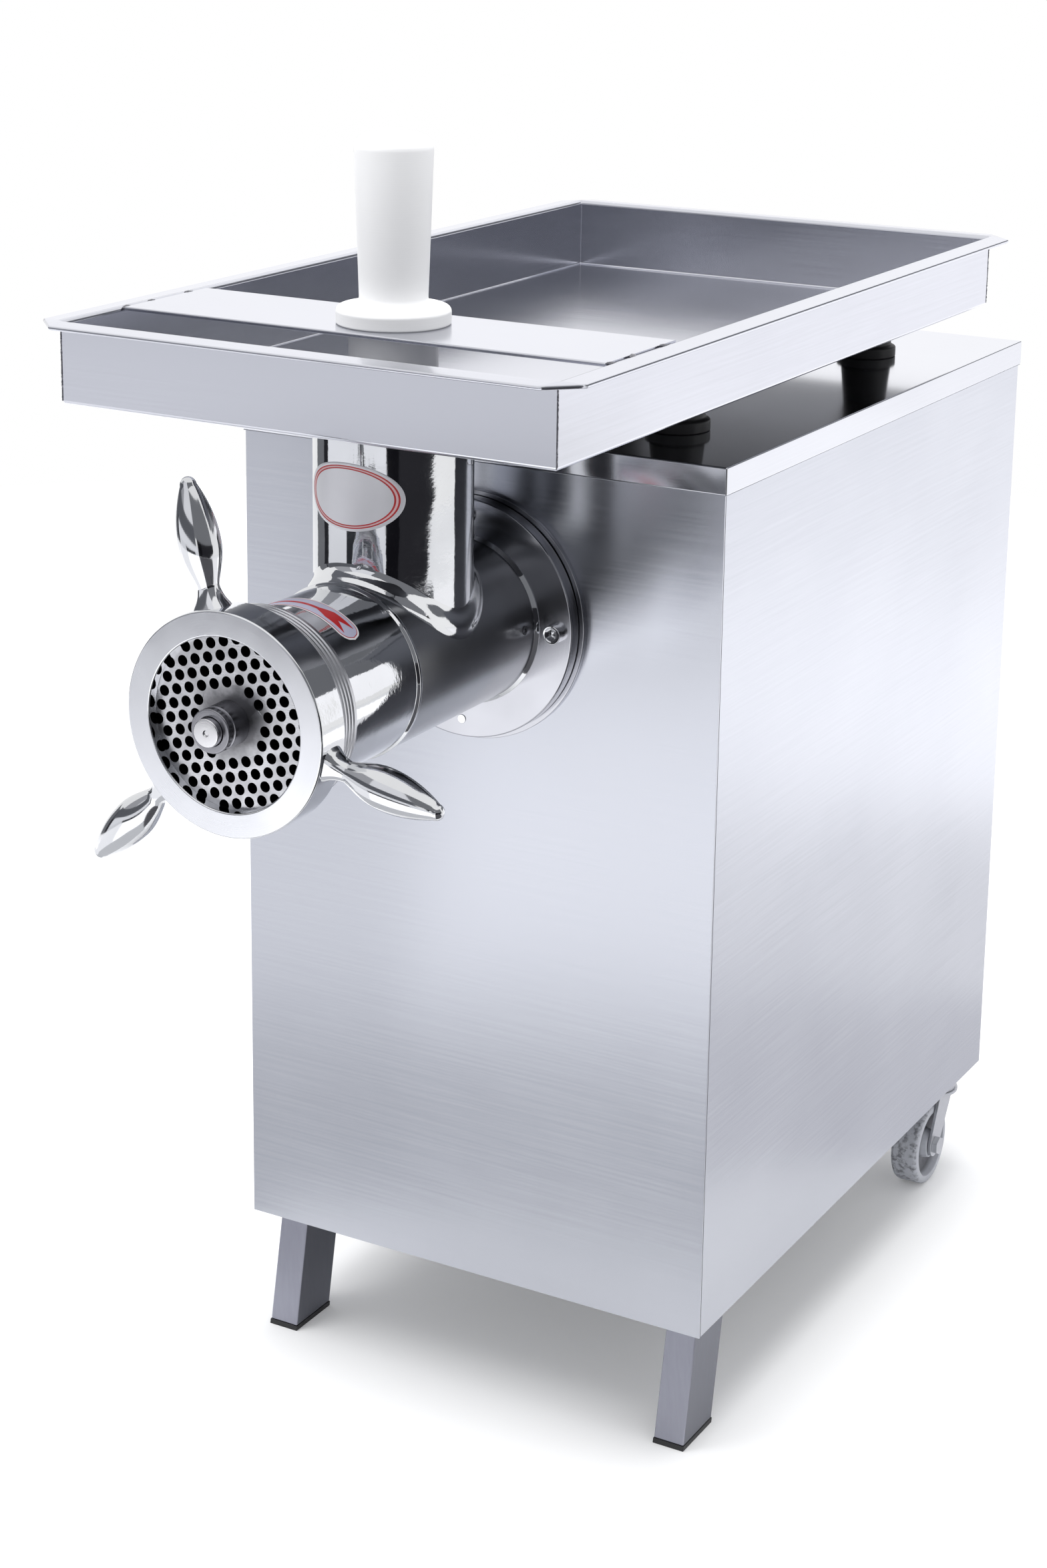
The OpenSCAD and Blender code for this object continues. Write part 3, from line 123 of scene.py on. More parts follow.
class Bench:  # puts nodes into one tree
    def __init__(self, tree):
        self.tree = tree
        tree.nodes.clear()

    def node(self, kind, settings=None, inputs=None, output=0):
        made = self.tree.nodes.new(kind)
        for name, value in (settings or {}).items():
            setattr(made, name, value)
        for name, value in (inputs or {}).items():
            if isinstance(value, Wire):
                self.tree.links.new(value.socket, made.inputs[name])
            else:
                made.inputs[name].default_value = value
        return Wire(self, made.outputs[output]) if made.outputs else None

    def maths(self, operation, first, second=0.0):
        return self.node("ShaderNodeMath", {"operation": operation}, {0: first, 1: second})

    def between(self, share, low, high):  # a share between two, held inside them
        return self.node("ShaderNodeMapRange", None,
                         {"Value": share, "From Min": low, "From Max": high})

    def tint(self, share, first, second):
        return self.node("ShaderNodeMix", {"data_type": "RGBA"},
                         {0: share, 6: (*first, 1), 7: (*second, 1)}, output=2)

    def spot(self):  # a point's place on the machine, in metres
        return self.node("ShaderNodeTexCoord", output="Object")

    def noise(self, scale, stretch=(1, 1, 1), detail=2.0, rough=0.5):
        place = self.node("ShaderNodeMapping", None, {"Vector": self.spot(), "Scale": stretch})
        return self.node("ShaderNodeTexNoise", None,
                         {"Vector": place, "Scale": scale, "Detail": detail, "Roughness": rough})

    def radius(self, centre, axis):  # distance from a turned part's axis
        place = self.node("ShaderNodeVectorMath", {"operation": "SUBTRACT"},
                          {0: self.spot(), 1: centre})
        split = self.node("ShaderNodeSeparateXYZ", None, {0: place})
        first, second = [split.also(letter) for letter in "XYZ" if letter != axis]
        return (first * first + second * second) ** 0.5

    def bump(self, height, distance):
        return self.node("ShaderNodeBump", None, {"Height": height, "Distance": distance})

    def surface(self, inputs):
        shader = self.node("ShaderNodeBsdfPrincipled", None, inputs)
        self.node("ShaderNodeOutputMaterial", None, {"Surface": shader})


def newFinish(name):
    finish = bpy.data.materials.new(name)
    finish.use_nodes = True
    return finish, Bench(finish.node_tree)


# finishes
headAxisZ = (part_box("ring_nut")[0].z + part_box("ring_nut")[1].z) / 2
headCentre = (0.0, 0.0, headAxisZ)


def brushedSheet(name, dark, light, rough, grain, stretch=0.0):
    # belt-ground sheet: hair lines run level on the walls and crosswise on flat tops
    finish, bench = newFinish(name)
    along, across = grain        # lines per metre along and across the grinding
    place = bench.node("ShaderNodeSeparateXYZ", None, {0: bench.spot()})
    face = bench.node("ShaderNodeNewGeometry", output="Normal")
    flat = bench.maths("ABSOLUTE", bench.node("ShaderNodeSeparateXYZ", None, {0: face}).also("Z"))
    flat = bench.maths("GREATER_THAN", flat, 0.7)
    rise = place.also("Z") * (1 - flat) + place.also("Y") * flat
    run = place + place.also("Y") * (1 - flat)
    lines = bench.node("ShaderNodeCombineXYZ", None, {0: run * along, 1: rise * across})
    hair = bench.node("ShaderNodeTexNoise", None, {"Vector": lines, "Scale": 1.0, "Detail": 4.0})
    patches = bench.noise(5.0, detail=4.0)
    shade = hair * 0.34 + patches * 0.47 + 0.095     # centred on a half
    low, high = rough
    bench.surface({
        "Base Color": bench.tint(bench.between(shade, 0.35, 0.65), dark, light),
        "Metallic": 1.0,
        "Roughness": low + (high - low) * bench.between(patches * 0.6 + hair * 0.4, 0.3, 0.7),
        "Anisotropic": stretch,
        "Anisotropic Rotation": 0.25,
        "Normal": bench.bump(hair, 0.0000012),
    })
    return finish


def polishedSteel(name, colour, rough, wave, torn=0.0):
    # buffed metal: slow waves from hand polishing and hair-fine scratches
    finish, bench = newFinish(name)
    swell = bench.noise(22.0, detail=1.0)
    hairs = bench.noise(1.0, (900, 60, 900), detail=2.0)
    strokes = bench.noise(1.0, (110, 240, 240), detail=3.0, rough=0.6)
    smudge = bench.noise(9.0, detail=4.0)
    dull = tuple(part * 0.86 for part in colour)
    bench.surface({
        "Base Color": bench.tint(bench.between(smudge, 0.35, 0.65), dull, colour),
        "Metallic": 1.0,
        "Roughness": rough + 0.05 * bench.between(smudge, 0.45, 0.75) + 0.02 * hairs,
        "Normal": bench.bump(swell + strokes * torn + hairs * 0.004, wave),
    })
    return finish


def turnedSteel(name, dark, light, rough, pitch=0.0006, depth=0.000012):
    # lathe-cut faces: rings about the head's axis
    finish, bench = newFinish(name)
    rings = bench.node("ShaderNodeTexNoise", {"noise_dimensions": "1D"},
                       {"W": bench.radius(headCentre, "Y") / pitch, "Scale": 1.0, "Detail": 2.0})
    patches = bench.noise(14.0, detail=3.0)
    bench.surface({
        "Base Color": bench.tint(rings * 0.4 + patches * 0.6, dark, light),
        "Metallic": 1.0,
        "Roughness": rough + 0.10 * bench.between(patches, 0.3, 0.7) + 0.05 * rings,
        "Normal": bench.bump(rings, depth),
    })
    return finish


def groundSteel(name, dark, light, rough):
    # ground tool steel with grease smudges that thicken towards the hub
    finish, bench = newFinish(name)
    stone = bench.noise(1.0, (40, 40, 900), detail=3.0)
    smudge = bench.noise(38.0, detail=5.0, rough=0.62)
    hub = 1 - bench.between(bench.radius(headCentre, "Y"), 0.016, 0.034)
    darkening = bench.between(smudge + hub * 0.55, 0.45, 0.95)
    bench.surface({
        "Base Color": bench.tint(darkening, light, dark),
        "Metallic": 1.0,
        "Roughness": rough + 0.12 * darkening + 0.06 * stone,
        "Normal": bench.bump(stone + smudge * 0.5, 0.00003),
    })
    return finish


def blackenedSteel(name, dark, light, rough):
    finish, bench = newFinish(name)
    worn = bench.noise(180.0, detail=4.0, rough=0.65)
    bench.surface({
        "Base Color": bench.tint(bench.between(worn, 0.48, 0.72), dark, light),
        "Metallic": 0.95,
        "Roughness": rough + 0.15 * worn,
        "Normal": bench.bump(worn, 0.00004),
    })
    return finish


def zincPlate(name, dark, light):
    finish, bench = newFinish(name)
    spangle = bench.node("ShaderNodeTexVoronoi", None,
                         {"Vector": bench.spot(), "Scale": 160.0})
    cloudy = bench.noise(30.0, detail=3.0)
    bench.surface({
        "Base Color": bench.tint(cloudy * 0.7 + spangle * 0.3, dark, light),
        "Metallic": 0.9,
        "Roughness": 0.30 + 0.16 * cloudy,
        "Normal": bench.bump(spangle, 0.00003),
    })
    return finish


def mouldedPlastic(name, dark, light, rough, speck=420.0, depth=0.00003, coat=0.0):
    finish, bench = newFinish(name)
    fine = bench.noise(speck, detail=2.0)
    broad = bench.noise(12.0, detail=3.0)
    bench.surface({
        "Base Color": bench.tint(bench.between(broad, 0.3, 0.7), dark, light),
        "Roughness": rough + 0.10 * broad,
        "Coat Weight": coat,
        "Normal": bench.bump(fine, depth),
    })
    return finish


def turnedPlastic(name, dark, light, rough, axis, centre):
    # solid plastic bar cut on a lathe, with a faint spiral of tool marks
    finish, bench = newFinish(name)
    height = bench.node("ShaderNodeSeparateXYZ", None, {0: bench.spot()}).also(axis)
    marks = bench.node("ShaderNodeTexNoise", {"noise_dimensions": "1D"},
                       {"W": (height + bench.radius(centre, axis) * 0.7) / 0.0011,
                        "Scale": 1.0, "Detail": 2.0})
    broad = bench.noise(10.0, detail=3.0)
    bench.surface({
        "Base Color": bench.tint(bench.between(broad, 0.3, 0.7), dark, light),
        "Roughness": rough + 0.12 * marks,
        "Normal": bench.bump(marks, 0.00004),
    })
    return finish


def wheelNylon(name, shadedBase, grey, axleY, axleZ):
    # off-white wheel, its base colour dimmed as painted shade for its place beneath the cabinet, with blotches of
    # floor grime on the tread and painted shade in the recess
    finish, bench = newFinish(name)
    away = bench.radius((0.0, axleY, axleZ), "X")
    scuff = bench.noise(210.0, detail=4.0, rough=0.65)
    tread = bench.between(away, 0.035, 0.037) * bench.between(scuff, 0.47, 0.62)
    # painted shade: the recess between hub and rim is darkened
    recess = bench.between(away, 0.0135, 0.0145) * (1 - bench.between(away, 0.0285, 0.0295))
    darkening = tread * 0.7 + recess * 0.85 + bench.between(scuff, 0.55, 0.8) * 0.15
    bench.surface({
        "Base Color": bench.tint(darkening, shadedBase, grey),
        "Roughness": 0.42 + 0.2 * scuff,
        "Normal": bench.bump(scuff, 0.00005),
    })
    return finish


def castPaint(name, dark, light, rough, lump=140.0, depth=0.00018):
    # paint over a sand casting
    finish, bench = newFinish(name)
    grit = bench.noise(lump, detail=4.0, rough=0.6)
    broad = bench.noise(9.0, detail=2.0)
    bench.surface({
        "Base Color": bench.tint(grit * 0.4 + broad * 0.6, dark, light),
        "Roughness": rough + 0.12 * grit,
        "Normal": bench.bump(grit, depth),
    })
    return finish


def printedFilm(name, dark, light, rough, metal=0.0):
    # thin printed film: faint mottling and a clear coat
    finish, bench = newFinish(name)
    mottle = bench.noise(70.0, detail=3.0)
    bench.surface({
        "Base Color": bench.tint(mottle, dark, light),
        "Metallic": metal,
        "Roughness": rough + 0.08 * mottle,
        "Coat Weight": 0.15,
        "Normal": bench.bump(mottle, 0.00002),
    })
    return finish


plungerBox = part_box("plunger")
plungerCentre = (0.0, (plungerBox[0].y + plungerBox[1].y) / 2, 0.0)
wheelCentre = middleOf("caster_wheel_r")

finishes = {
    "brushed_sheet": brushedSheet("brushedSheet", (0.545, 0.56, 0.61), (0.615, 0.63, 0.68),
                                  (0.20, 0.26), (8, 450), stretch=0.7),
    "polished_lid": brushedSheet("polishedLid", (0.66, 0.67, 0.71), (0.71, 0.72, 0.76),
                                 (0.08, 0.13), (10, 900)),
    "tray_sheet": brushedSheet("traySheet", (0.63, 0.64, 0.69), (0.70, 0.71, 0.765),
                               (0.15, 0.21), (8, 520)),
    "leg_steel": brushedSheet("legTube", (0.33, 0.335, 0.395), (0.39, 0.395, 0.455),
                              (0.30, 0.38), (300, 40)),
    "polished_head": polishedSteel("polishedHead", (0.81, 0.82, 0.84), 0.035, 0.0006, 0.07),
    "frame_paint": castPaint("primedFrame", (0.19, 0.20, 0.22), (0.25, 0.26, 0.28),
                             0.55, 300.0, 0.00004),
    "gearbox_iron": castPaint("gearboxPaint", (0.25, 0.29, 0.33), (0.33, 0.37, 0.41), 0.50),
    "motor_paint": castPaint("motorEnamel", (0.16, 0.27, 0.40), (0.23, 0.35, 0.49),
                             0.34, 220.0, 0.00006),
    "black_rubber": mouldedPlastic("blackRubber", (0.012, 0.012, 0.013), (0.030, 0.030, 0.032),
                                   0.42, 300.0),
    "black_plastic": mouldedPlastic("blackPlastic", (0.018, 0.018, 0.020), (0.035, 0.035, 0.038),
                                    0.38, 900.0),
    "green_button": mouldedPlastic("greenButton", (0.012, 0.24, 0.07), (0.02, 0.31, 0.10),
                                   0.26, 60.0, 0.00001, 0.5),
    "red_button": mouldedPlastic("redButton", (0.42, 0.012, 0.012), (0.52, 0.025, 0.020),
                                 0.26, 60.0, 0.00001, 0.5),
    "plunger_plastic": turnedPlastic("whitePlastic", (0.90, 0.90, 0.905), (0.93, 0.93, 0.935),
                                     0.36, "Z", plungerCentre),
    # the first colour is the off-white nylon dimmed as painted shade
    "wheel_nylon": wheelNylon("wheelNylon", (0.52, 0.535, 0.58), (0.12, 0.12, 0.135),
                              wheelCentre.y, wheelCentre.z),
    "zinc_steel": zincPlate("zincPlate", (0.58, 0.59, 0.62), (0.70, 0.71, 0.74)),
    "tool_steel": groundSteel("groundSteel", (0.17, 0.17, 0.18), (0.62, 0.625, 0.65), 0.24),
    "dark_steel": blackenedSteel("blackenedSteel", (0.09, 0.09, 0.10), (0.24, 0.24, 0.26), 0.30),
}
chromeSteel = polishedSteel("chromeSteel", (0.72, 0.73, 0.75), 0.06, 0.00005)
ringFace = turnedSteel("ringFace", (0.69, 0.70, 0.74), (0.76, 0.77, 0.80), 0.17)
handleSteel = polishedSteel("handleSteel", (0.78, 0.79, 0.81), 0.085, 0.0002, 0.02)
noseSteel = turnedSteel("noseSteel", (0.62, 0.625, 0.65), (0.76, 0.765, 0.79), 0.22)
# painted shade: a darker, duller copy of the polished head steel for the barrel behind the weld
tailSteel = polishedSteel("tailSteel", (0.46, 0.465, 0.485), 0.19, 0.00012)
# painted shade: a darker copy of the leg steel for the legs' side faces, which look into the shadow beneath the
# cabinet
legSides = brushedSheet("legSides", (0.20, 0.205, 0.235), (0.24, 0.245, 0.28),
                        (0.34, 0.42), (300, 40))
flangeFace = turnedSteel("flangeFace", (0.49, 0.495, 0.53), (0.57, 0.575, 0.61),
                         0.11, 0.0009, 0.000004)
bushSteel = turnedSteel("bushSteel", (0.20, 0.20, 0.22), (0.40, 0.40, 0.43), 0.20)
pinSteel = turnedSteel("pinSteel", (0.62, 0.62, 0.64), (0.80, 0.80, 0.82), 0.16)
# painted shade: a near-black copy of the sheet for the tray's underside, so that it shows dark in the polished head
# below
millSheet = brushedSheet("millSheet", (0.12, 0.125, 0.14), (0.18, 0.185, 0.20),
                         (0.30, 0.38), (14, 900))
# painted shade: near-black walls inside the die plate's holes
holeWallShade = blackenedSteel("drilledBore", (0.020, 0.020, 0.022), (0.06, 0.06, 0.065), 0.45)
jointShade = blackenedSteel("jointShade", (0.05, 0.05, 0.055), (0.11, 0.11, 0.12), 0.5)
seamSteel = blackenedSteel("weldSeam", (0.16, 0.16, 0.18), (0.42, 0.42, 0.46), 0.26)
filmSilver = printedFilm("silverFilm", (0.74, 0.74, 0.78), (0.80, 0.80, 0.84), 0.42, 0.45)
filmLilac = printedFilm("lilacFilm", (0.46, 0.46, 0.60), (0.53, 0.53, 0.67), 0.34)
filmRed = printedFilm("redFilm", (0.44, 0.010, 0.014), (0.54, 0.020, 0.024), 0.40)
filmRose = printedFilm("roseFilm", (0.66, 0.42, 0.44), (0.74, 0.50, 0.52), 0.36)
filmWhite = printedFilm("whiteFilm", (0.78, 0.78, 0.80), (0.84, 0.84, 0.86), 0.30)
markWhite = printedFilm("whiteMark", (0.74, 0.74, 0.74), (0.82, 0.82, 0.82), 0.35)

for node, part in frame["nodes"].items():
    part.data.materials.clear()
    part.data.materials.append(finishes[slotOf[node]])
print("finishes made:", len(bpy.data.materials))


# shaping
def baked(piece):  # the modifiers' result becomes the piece's own mesh
    bpy.context.view_layer.update()
    mesh = bpy.data.meshes.new_from_object(piece.evaluated_get(
        bpy.context.evaluated_depsgraph_get()))
    piece.modifiers.clear()
    old = piece.data
    piece.data = mesh
    bpy.data.meshes.remove(old)
    return piece


def evenNormals(piece):  # flat faces stay flat beside small rounded edges
    even = piece.modifiers.new("even", "WEIGHTED_NORMAL")
    even.keep_sharp = True
    even.weight = 90
    return baked(piece)


def pieceFrom(bm, name, materials, bend=35, weld=1e-6, even=True):
    bmesh.ops.remove_doubles(bm, verts=bm.verts, dist=weld)
    bmesh.ops.recalc_face_normals(bm, faces=bm.faces)
    mesh = bpy.data.meshes.new(name)
    bm.to_mesh(mesh)
    bm.free()
    for material in materials:
        mesh.materials.append(material)
    mesh.shade_smooth()
    mesh.set_sharp_from_angle(angle=radians(bend))
    piece = bpy.data.objects.new(name, mesh)
    scene.collection.objects.link(piece)
    return evenNormals(piece) if even else piece


def seat(piece, *nodes, hide=True):  # rides as the first node does, and hides the nodes unless hide is off
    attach(piece, bodyOf[nodes[0]])
    if hide:
        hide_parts(*nodes)
    return piece


def steps(start, end, count):
    return [start + (end - start) * k / count for k in range(count + 1)]


def filleted(corners, parts=4):  # (across, along, radius) corners; round ones become arcs
    points = []
    for i, (x, y, r) in enumerate(corners):
        here = Vector((x, y))
        if not r:
            points.append(here)
            continue
        before = (Vector(corners[i - 1][:2]) - here).normalized()
        after = (Vector(corners[(i + 1) % len(corners)][:2]) - here).normalized()
        half = before.angle(after) / 2
        middle = here + (before + after).normalized() * (r / sin(half))
        first = here + before * (r / tan(half)) - middle
        last = here + after * (r / tan(half)) - middle
        sweep = pi - 2 * half
        for s in steps(0, 1, parts):
            arm = (sin((1 - s) * sweep) * first + sin(s * sweep) * last) / sin(sweep)
            points.append(middle + arm)
    return points


acrossAxes = {"X": (Vector((0, 1, 0)), Vector((0, 0, 1)), Vector((1, 0, 0))),
              "Y": (Vector((0, 0, 1)), Vector((1, 0, 0)), Vector((0, 1, 0))),
              "Z": (Vector((1, 0, 0)), Vector((0, 1, 0)), Vector((0, 0, 1)))}


def bridgeLoops(bm, first, second):
    if len(first) == 1 and len(second) == 1:
        return
    count = max(len(first), len(second))
    for k in range(count):
        quad = [first[k % len(first)], first[(k + 1) % len(first)],
                second[(k + 1) % len(second)], second[k % len(second)]]
        bm.faces.new(list(dict.fromkeys(quad)))


def skin(bm, loops, closed=False):      # faces between each loop of vertices and the next
    for first, second in zip(loops, loops[1:] + (loops[:1] if closed else [])):
        bridgeLoops(bm, first, second)


def turned(name, profile, centre, axis, materials, rounds=128, closed=False):
    # profile: (radius, place along the axis) from one end to the other, or a closed loop
    one, two, along = acrossAxes[axis]
    base = Vector(centre)
    base -= along * base.dot(along)
    bm = bmesh.new()
    loops = []
    for r, place in profile:
        if r < 1e-7:
            loops.append([bm.verts.new(base + along * place)])
            continue
        loops.append([bm.verts.new(base + along * place + one * (r * cos(tau * k / rounds))
                                   + two * (r * sin(tau * k / rounds))) for k in range(rounds)])
    skin(bm, loops, closed)
    return pieceFrom(bm, name, materials)


def drill(name, r, low, high, centre, axis="Z", rounds=128):     # a round cutter
    return turned(name, [(0, low), (r, low), (r, high), (0, high)], centre, axis, [], rounds)


def extruded(name, outline, axis, start, end, materials):
    # outline: points in the two axes across the given one
    one, two, along = acrossAxes[axis]
    bm = bmesh.new()
    ends = [[bm.verts.new(one * x + two * y + along * place) for x, y in outline]
            for place in (start, end)]
    bridgeLoops(bm, *ends)
    for loop in ends:
        bm.faces.new(loop)
    return pieceFrom(bm, name, materials)


def lathe(node, name, corners, centre, axis="Y", rounds=160, closed=True, parts=4,
          finish=None, hide=True):
    # turns a filleted section and seats it on its node, in that node's finish if none is given
    materials = [finish or finishes[slotOf[node]]]
    piece = turned(name, filleted(corners, parts), centre, axis, materials, rounds, closed)
    return seat(piece, node, hide=hide)


cutterRoom = 0.01     # how far a cutter reaches past its sheet


def carve(piece, cutter, bend=35):
    cut = piece.modifiers.new("cut", "BOOLEAN")
    cut.operation = "DIFFERENCE"
    cut.solver = "EXACT"
    cut.object = cutter
    baked(piece)
    bpy.data.objects.remove(cutter)
    piece.data.shade_smooth()
    piece.data.set_sharp_from_angle(angle=radians(bend))
    return evenNormals(piece)


def softened(piece, edge, rounds=2, chosen=None):
    # breaks a mesh's sharp edges, as folding or cutting leaves them
    bm = bmesh.new()
    bm.from_mesh(piece.data)
    bmesh.ops.remove_doubles(bm, verts=bm.verts, dist=3e-6)
    bmesh.ops.dissolve_limit(bm, angle_limit=radians(0.5), verts=bm.verts, edges=bm.edges)
    sharp = [e for e in bm.edges if len(e.link_faces) == 2
             and e.calc_face_angle(0) > radians(30) and (chosen is None or chosen(e))]
    bmesh.ops.bevel(bm, geom=sharp, offset=edge, offset_type="OFFSET", segments=rounds,
                    profile=0.5, affect="EDGES", clamp_overlap=True)
    name, materials = piece.name, list(piece.data.materials)
    bpy.data.objects.remove(piece)
    return pieceFrom(bm, name, materials, 40)


def copied(name, node):     # a copy of a CAD node's mesh
    bm = bmesh.new()
    bm.from_mesh(frame["nodes"][node].data)
    for layer in list(bm.loops.layers.uv.values()):
        bm.loops.layers.uv.remove(layer)
    return pieceFrom(bm, name, [finishes[slotOf[node]]], weld=3e-6, even=False)


def inked(piece, materials, choose):     # choose gives each face the number of its material
    piece.data.materials.clear()
    for material in materials:
        piece.data.materials.append(material)
    for face in piece.data.polygons:
        face.material_index = choose(face)


def dressed(name, node, edge, rounds=2, chosen=None):     # a CAD node with its edges broken
    return seat(softened(copied(name, node), edge, rounds, chosen=chosen), node)


def looseBoxes(node):  # the box of each separate solid in a node
    bm = bmesh.new()
    bm.from_mesh(frame["nodes"][node].data)
    bmesh.ops.remove_doubles(bm, verts=bm.verts, dist=3e-6)
    left, boxes = set(bm.verts), []
    while left:
        group, edge = set(), [left.pop()]
        while edge:
            here = edge.pop()
            group.add(here)
            near = {e.other_vert(here) for e in here.link_edges} & left
            left -= near
            edge.extend(near)
        places = [v.co for v in group]
        boxes.append((Vector(min(p[i] for p in places) for i in range(3)),
                      Vector(max(p[i] for p in places) for i in range(3))))
    bm.free()
    return sorted(boxes, key=lambda box: tuple(box[0]))


# geometry node trees
class Growth:  # a geometry tree with named inputs that makes one mesh
    def __init__(self, name, sizes):
        self.name = name
        self.tree = bpy.data.node_groups.new(name, "GeometryNodeTree")
        self.bench = Bench(self.tree)
        self.sizes = sizes
        socket = self.tree.interface.new_socket
        socket(name="Geometry", in_out="INPUT", socket_type="NodeSocketGeometry")
        self.ports = {label: socket(name=label, in_out="INPUT", socket_type="NodeSocketFloat")
                      for label in sizes}
        socket(name="Geometry", in_out="OUTPUT", socket_type="NodeSocketGeometry")
        self.start = self.bench.node("NodeGroupInput")

    def size(self, label):
        return self.start.also(label)

    def node(self, *args, **rest):
        return self.bench.node(*args, **rest)

    def grow(self, shape, finish, base=None, bend=35):
        # closes the tree, runs it on the base mesh and keeps the result as a plain mesh
        solid = self.node("GeometryNodeRealizeInstances", None, {"Geometry": shape})
        solid = self.node("GeometryNodeSetMaterial", None,
                          {"Geometry": solid, "Material": finish})
        self.node("NodeGroupOutput", None, {"Geometry": solid})
        piece = bpy.data.objects.new(self.name, base or bpy.data.meshes.new(self.name))
        scene.collection.objects.link(piece)
        modifier = piece.modifiers.new(self.name, "NODES")
        modifier.node_group = self.tree
        for label, value in self.sizes.items():
            modifier[self.ports[label].identifier] = value
        baked(piece)
        bm = bmesh.new()
        bm.from_mesh(piece.data)
        bmesh.ops.recalc_face_normals(bm, faces=bm.faces)
        bm.to_mesh(piece.data)
        bm.free()
        piece.data.shade_smooth()
        piece.data.set_sharp_from_angle(angle=radians(bend))
        return piece


def pointMesh(name, places):
    mesh = bpy.data.meshes.new(name)
    mesh.from_pydata([tuple(place) for place in places], [], [])
    return mesh


def copiesAt(name, places, pattern, finish, wobble=0.0, spin=(0, 0, 0), bend=35):
    # one copy of a pattern mesh at each place, each turned a little at random
    growth = Growth(name, {"wobble": wobble, "seed": 7.0})
    shape = growth.node("GeometryNodeObjectInfo", {"transform_space": "ORIGINAL"},
                        {"Object": pattern}, output="Geometry")
    drift = growth.node("FunctionNodeRandomValue", {"data_type": "FLOAT"},
                        {2: growth.size("wobble") * -1.0, 3: growth.size("wobble"),
                         "Seed": growth.size("seed")}, output=1)
    turn = growth.node("ShaderNodeCombineXYZ", None,
                       {axis: drift * share for axis, share in zip("XYZ", spin) if share})
    spread = growth.node("GeometryNodeInstanceOnPoints", None, {
        "Points": growth.start, "Instance": shape, "Rotation": turn})
    piece = growth.grow(spread, finish, pointMesh(name, places), bend)
    bpy.data.objects.remove(pattern)
    return piece


# cabinet
cabinetSize = {"panelEdge": 0.0007, "lidEdge": 0.0013, "floorEdge": 0.0003, "rearEdge": 0.0004}
louvreSize = {
    "rows": 8, "pitch": 0.024, "first": 0.3113, "column": 0.104, "length": 0.120,
    "out": 0.005, "tall": 0.010, "mouth": 0.0032, "sheet": 0.001, "taper": 0.013,
    "root": 0.0005, "lipDrop": 0.0006, "endHeight": 0.3, "endSwell": 0.05,
    "stations": 48,
}


def buildCabinet():
    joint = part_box("side_panel_r")[0].y     # the front sheet laps the side sheets here

    def atJoint(face):
        rounded = abs(face.normal.x) > 0.1 and abs(face.normal.y) > 0.1
        return int(rounded and abs(face.center.y - joint) < cabinetSize["panelEdge"])

    for node, name in (("front_panel", "frontSheet"), ("side_panel_l", "leftSheet"),
                       ("side_panel_r", "rightSheet")):
        sheet = dressed(name, node, cabinetSize["panelEdge"], 3)
        inked(sheet, (finishes[slotOf[node]], jointShade), atJoint)
    dressed("topCover", "lid", cabinetSize["lidEdge"], 4)
    dressed("floorSheet", "base_plate", cabinetSize["floorEdge"], 1)


def louvrePattern():    # one pressed hood about the origin, open below, facing +Y
    size = louvreSize
    half, tall, mouth, sheet = size["length"] / 2, size["tall"], size["mouth"], size["sheet"]
    out, taper = size["out"], size["taper"]
    root, drop, low = size["root"], mouth - size["lipDrop"], size["endHeight"]
    bm = bmesh.new()
    loops = []
    for x in steps(-half, half, size["stations"]):
        near = min(half - abs(x), taper) / taper
        swell = max(sqrt(1 - (1 - near) ** 2), size["endSwell"])
        outer = [(out * sin(a), mouth + (tall - mouth) * cos(a)) for a in steps(0, pi / 2, 8)]
        inner = [((out - sheet) * sin(a), mouth + (tall - sheet - mouth) * cos(a))
                 for a in steps(pi / 2, 0, 8)]
        lip = [(out, drop), (out - sheet, drop)]
        section = [(-root, tall)] + outer + lip + inner + [(-root, tall - sheet)]
        reach = low + (1 - low) * swell
        loops.append([bm.verts.new((x, y * swell if y > 0 else y, tall - (tall - z) * reach))
                      for y, z in section])
    skin(bm, loops)
    for loop in (loops[0], loops[-1]):
        bm.faces.new(loop)
    return pieceFrom(bm, "louvre", [], 50)


def panHead(name, r, height):    # screw head with a cross recess, facing +Y
    dome = filleted([(0, 0, 0), (r, 0, 0), (r, height * 0.35, 0),
                     (r * 0.72, height, r * 0.4), (0, height, 0)], 5)
    head = turned(name, dome, (0, 0, 0), "Y", [], 48)
    bm = bmesh.new()
    for wide, deep in ((r * 1.15, r * 0.22), (r * 0.22, r * 1.15)):
        made = bmesh.ops.create_cube(bm, size=1.0)
        for v in made["verts"]:
            v.co = Vector((v.co.x * wide, height * 0.75 + v.co.y * height, v.co.z * deep))
    return carve(head, pieceFrom(bm, "cross", [], even=False))


def buildRear():
    size = louvreSize
    low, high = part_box("rear_panel")
    face = high.y - size["out"]
    sheet = copied("rearSheet", "rear_panel")
    bottom, top = low.z - cutterRoom, high.z + cutterRoom
    left, right = low.x - cutterRoom, high.x + cutterRoom
    corners = [(bottom, left), (bottom, right), (top, right), (top, left)]
    carve(sheet, extruded("hoodCut", corners, "Y", face, high.y + cutterRoom, []))
    seat(softened(sheet, cabinetSize["rearEdge"]), "rear_panel")
    places = [Vector((side * size["column"], face, size["first"] + size["pitch"] * row))
              for side in (-1, 1) for row in range(size["rows"])]
    seat(copiesAt("rearLouvres", places, louvrePattern(), finishes["brushed_sheet"], bend=50),
         "rear_panel", hide=False)
    boxes = looseBoxes("panel_screws")
    low, high = boxes[0]
    pattern = panHead("screwHead", (high.x - low.x) / 2, high.y - face)
    places = [Vector(((a.x + b.x) / 2, face, (a.z + b.z) / 2)) for a, b in boxes]
    seat(copiesAt("panelScrews", places, pattern, finishes["zinc_steel"], 3.0, (0, 1, 0), 30),
         "panel_screws")


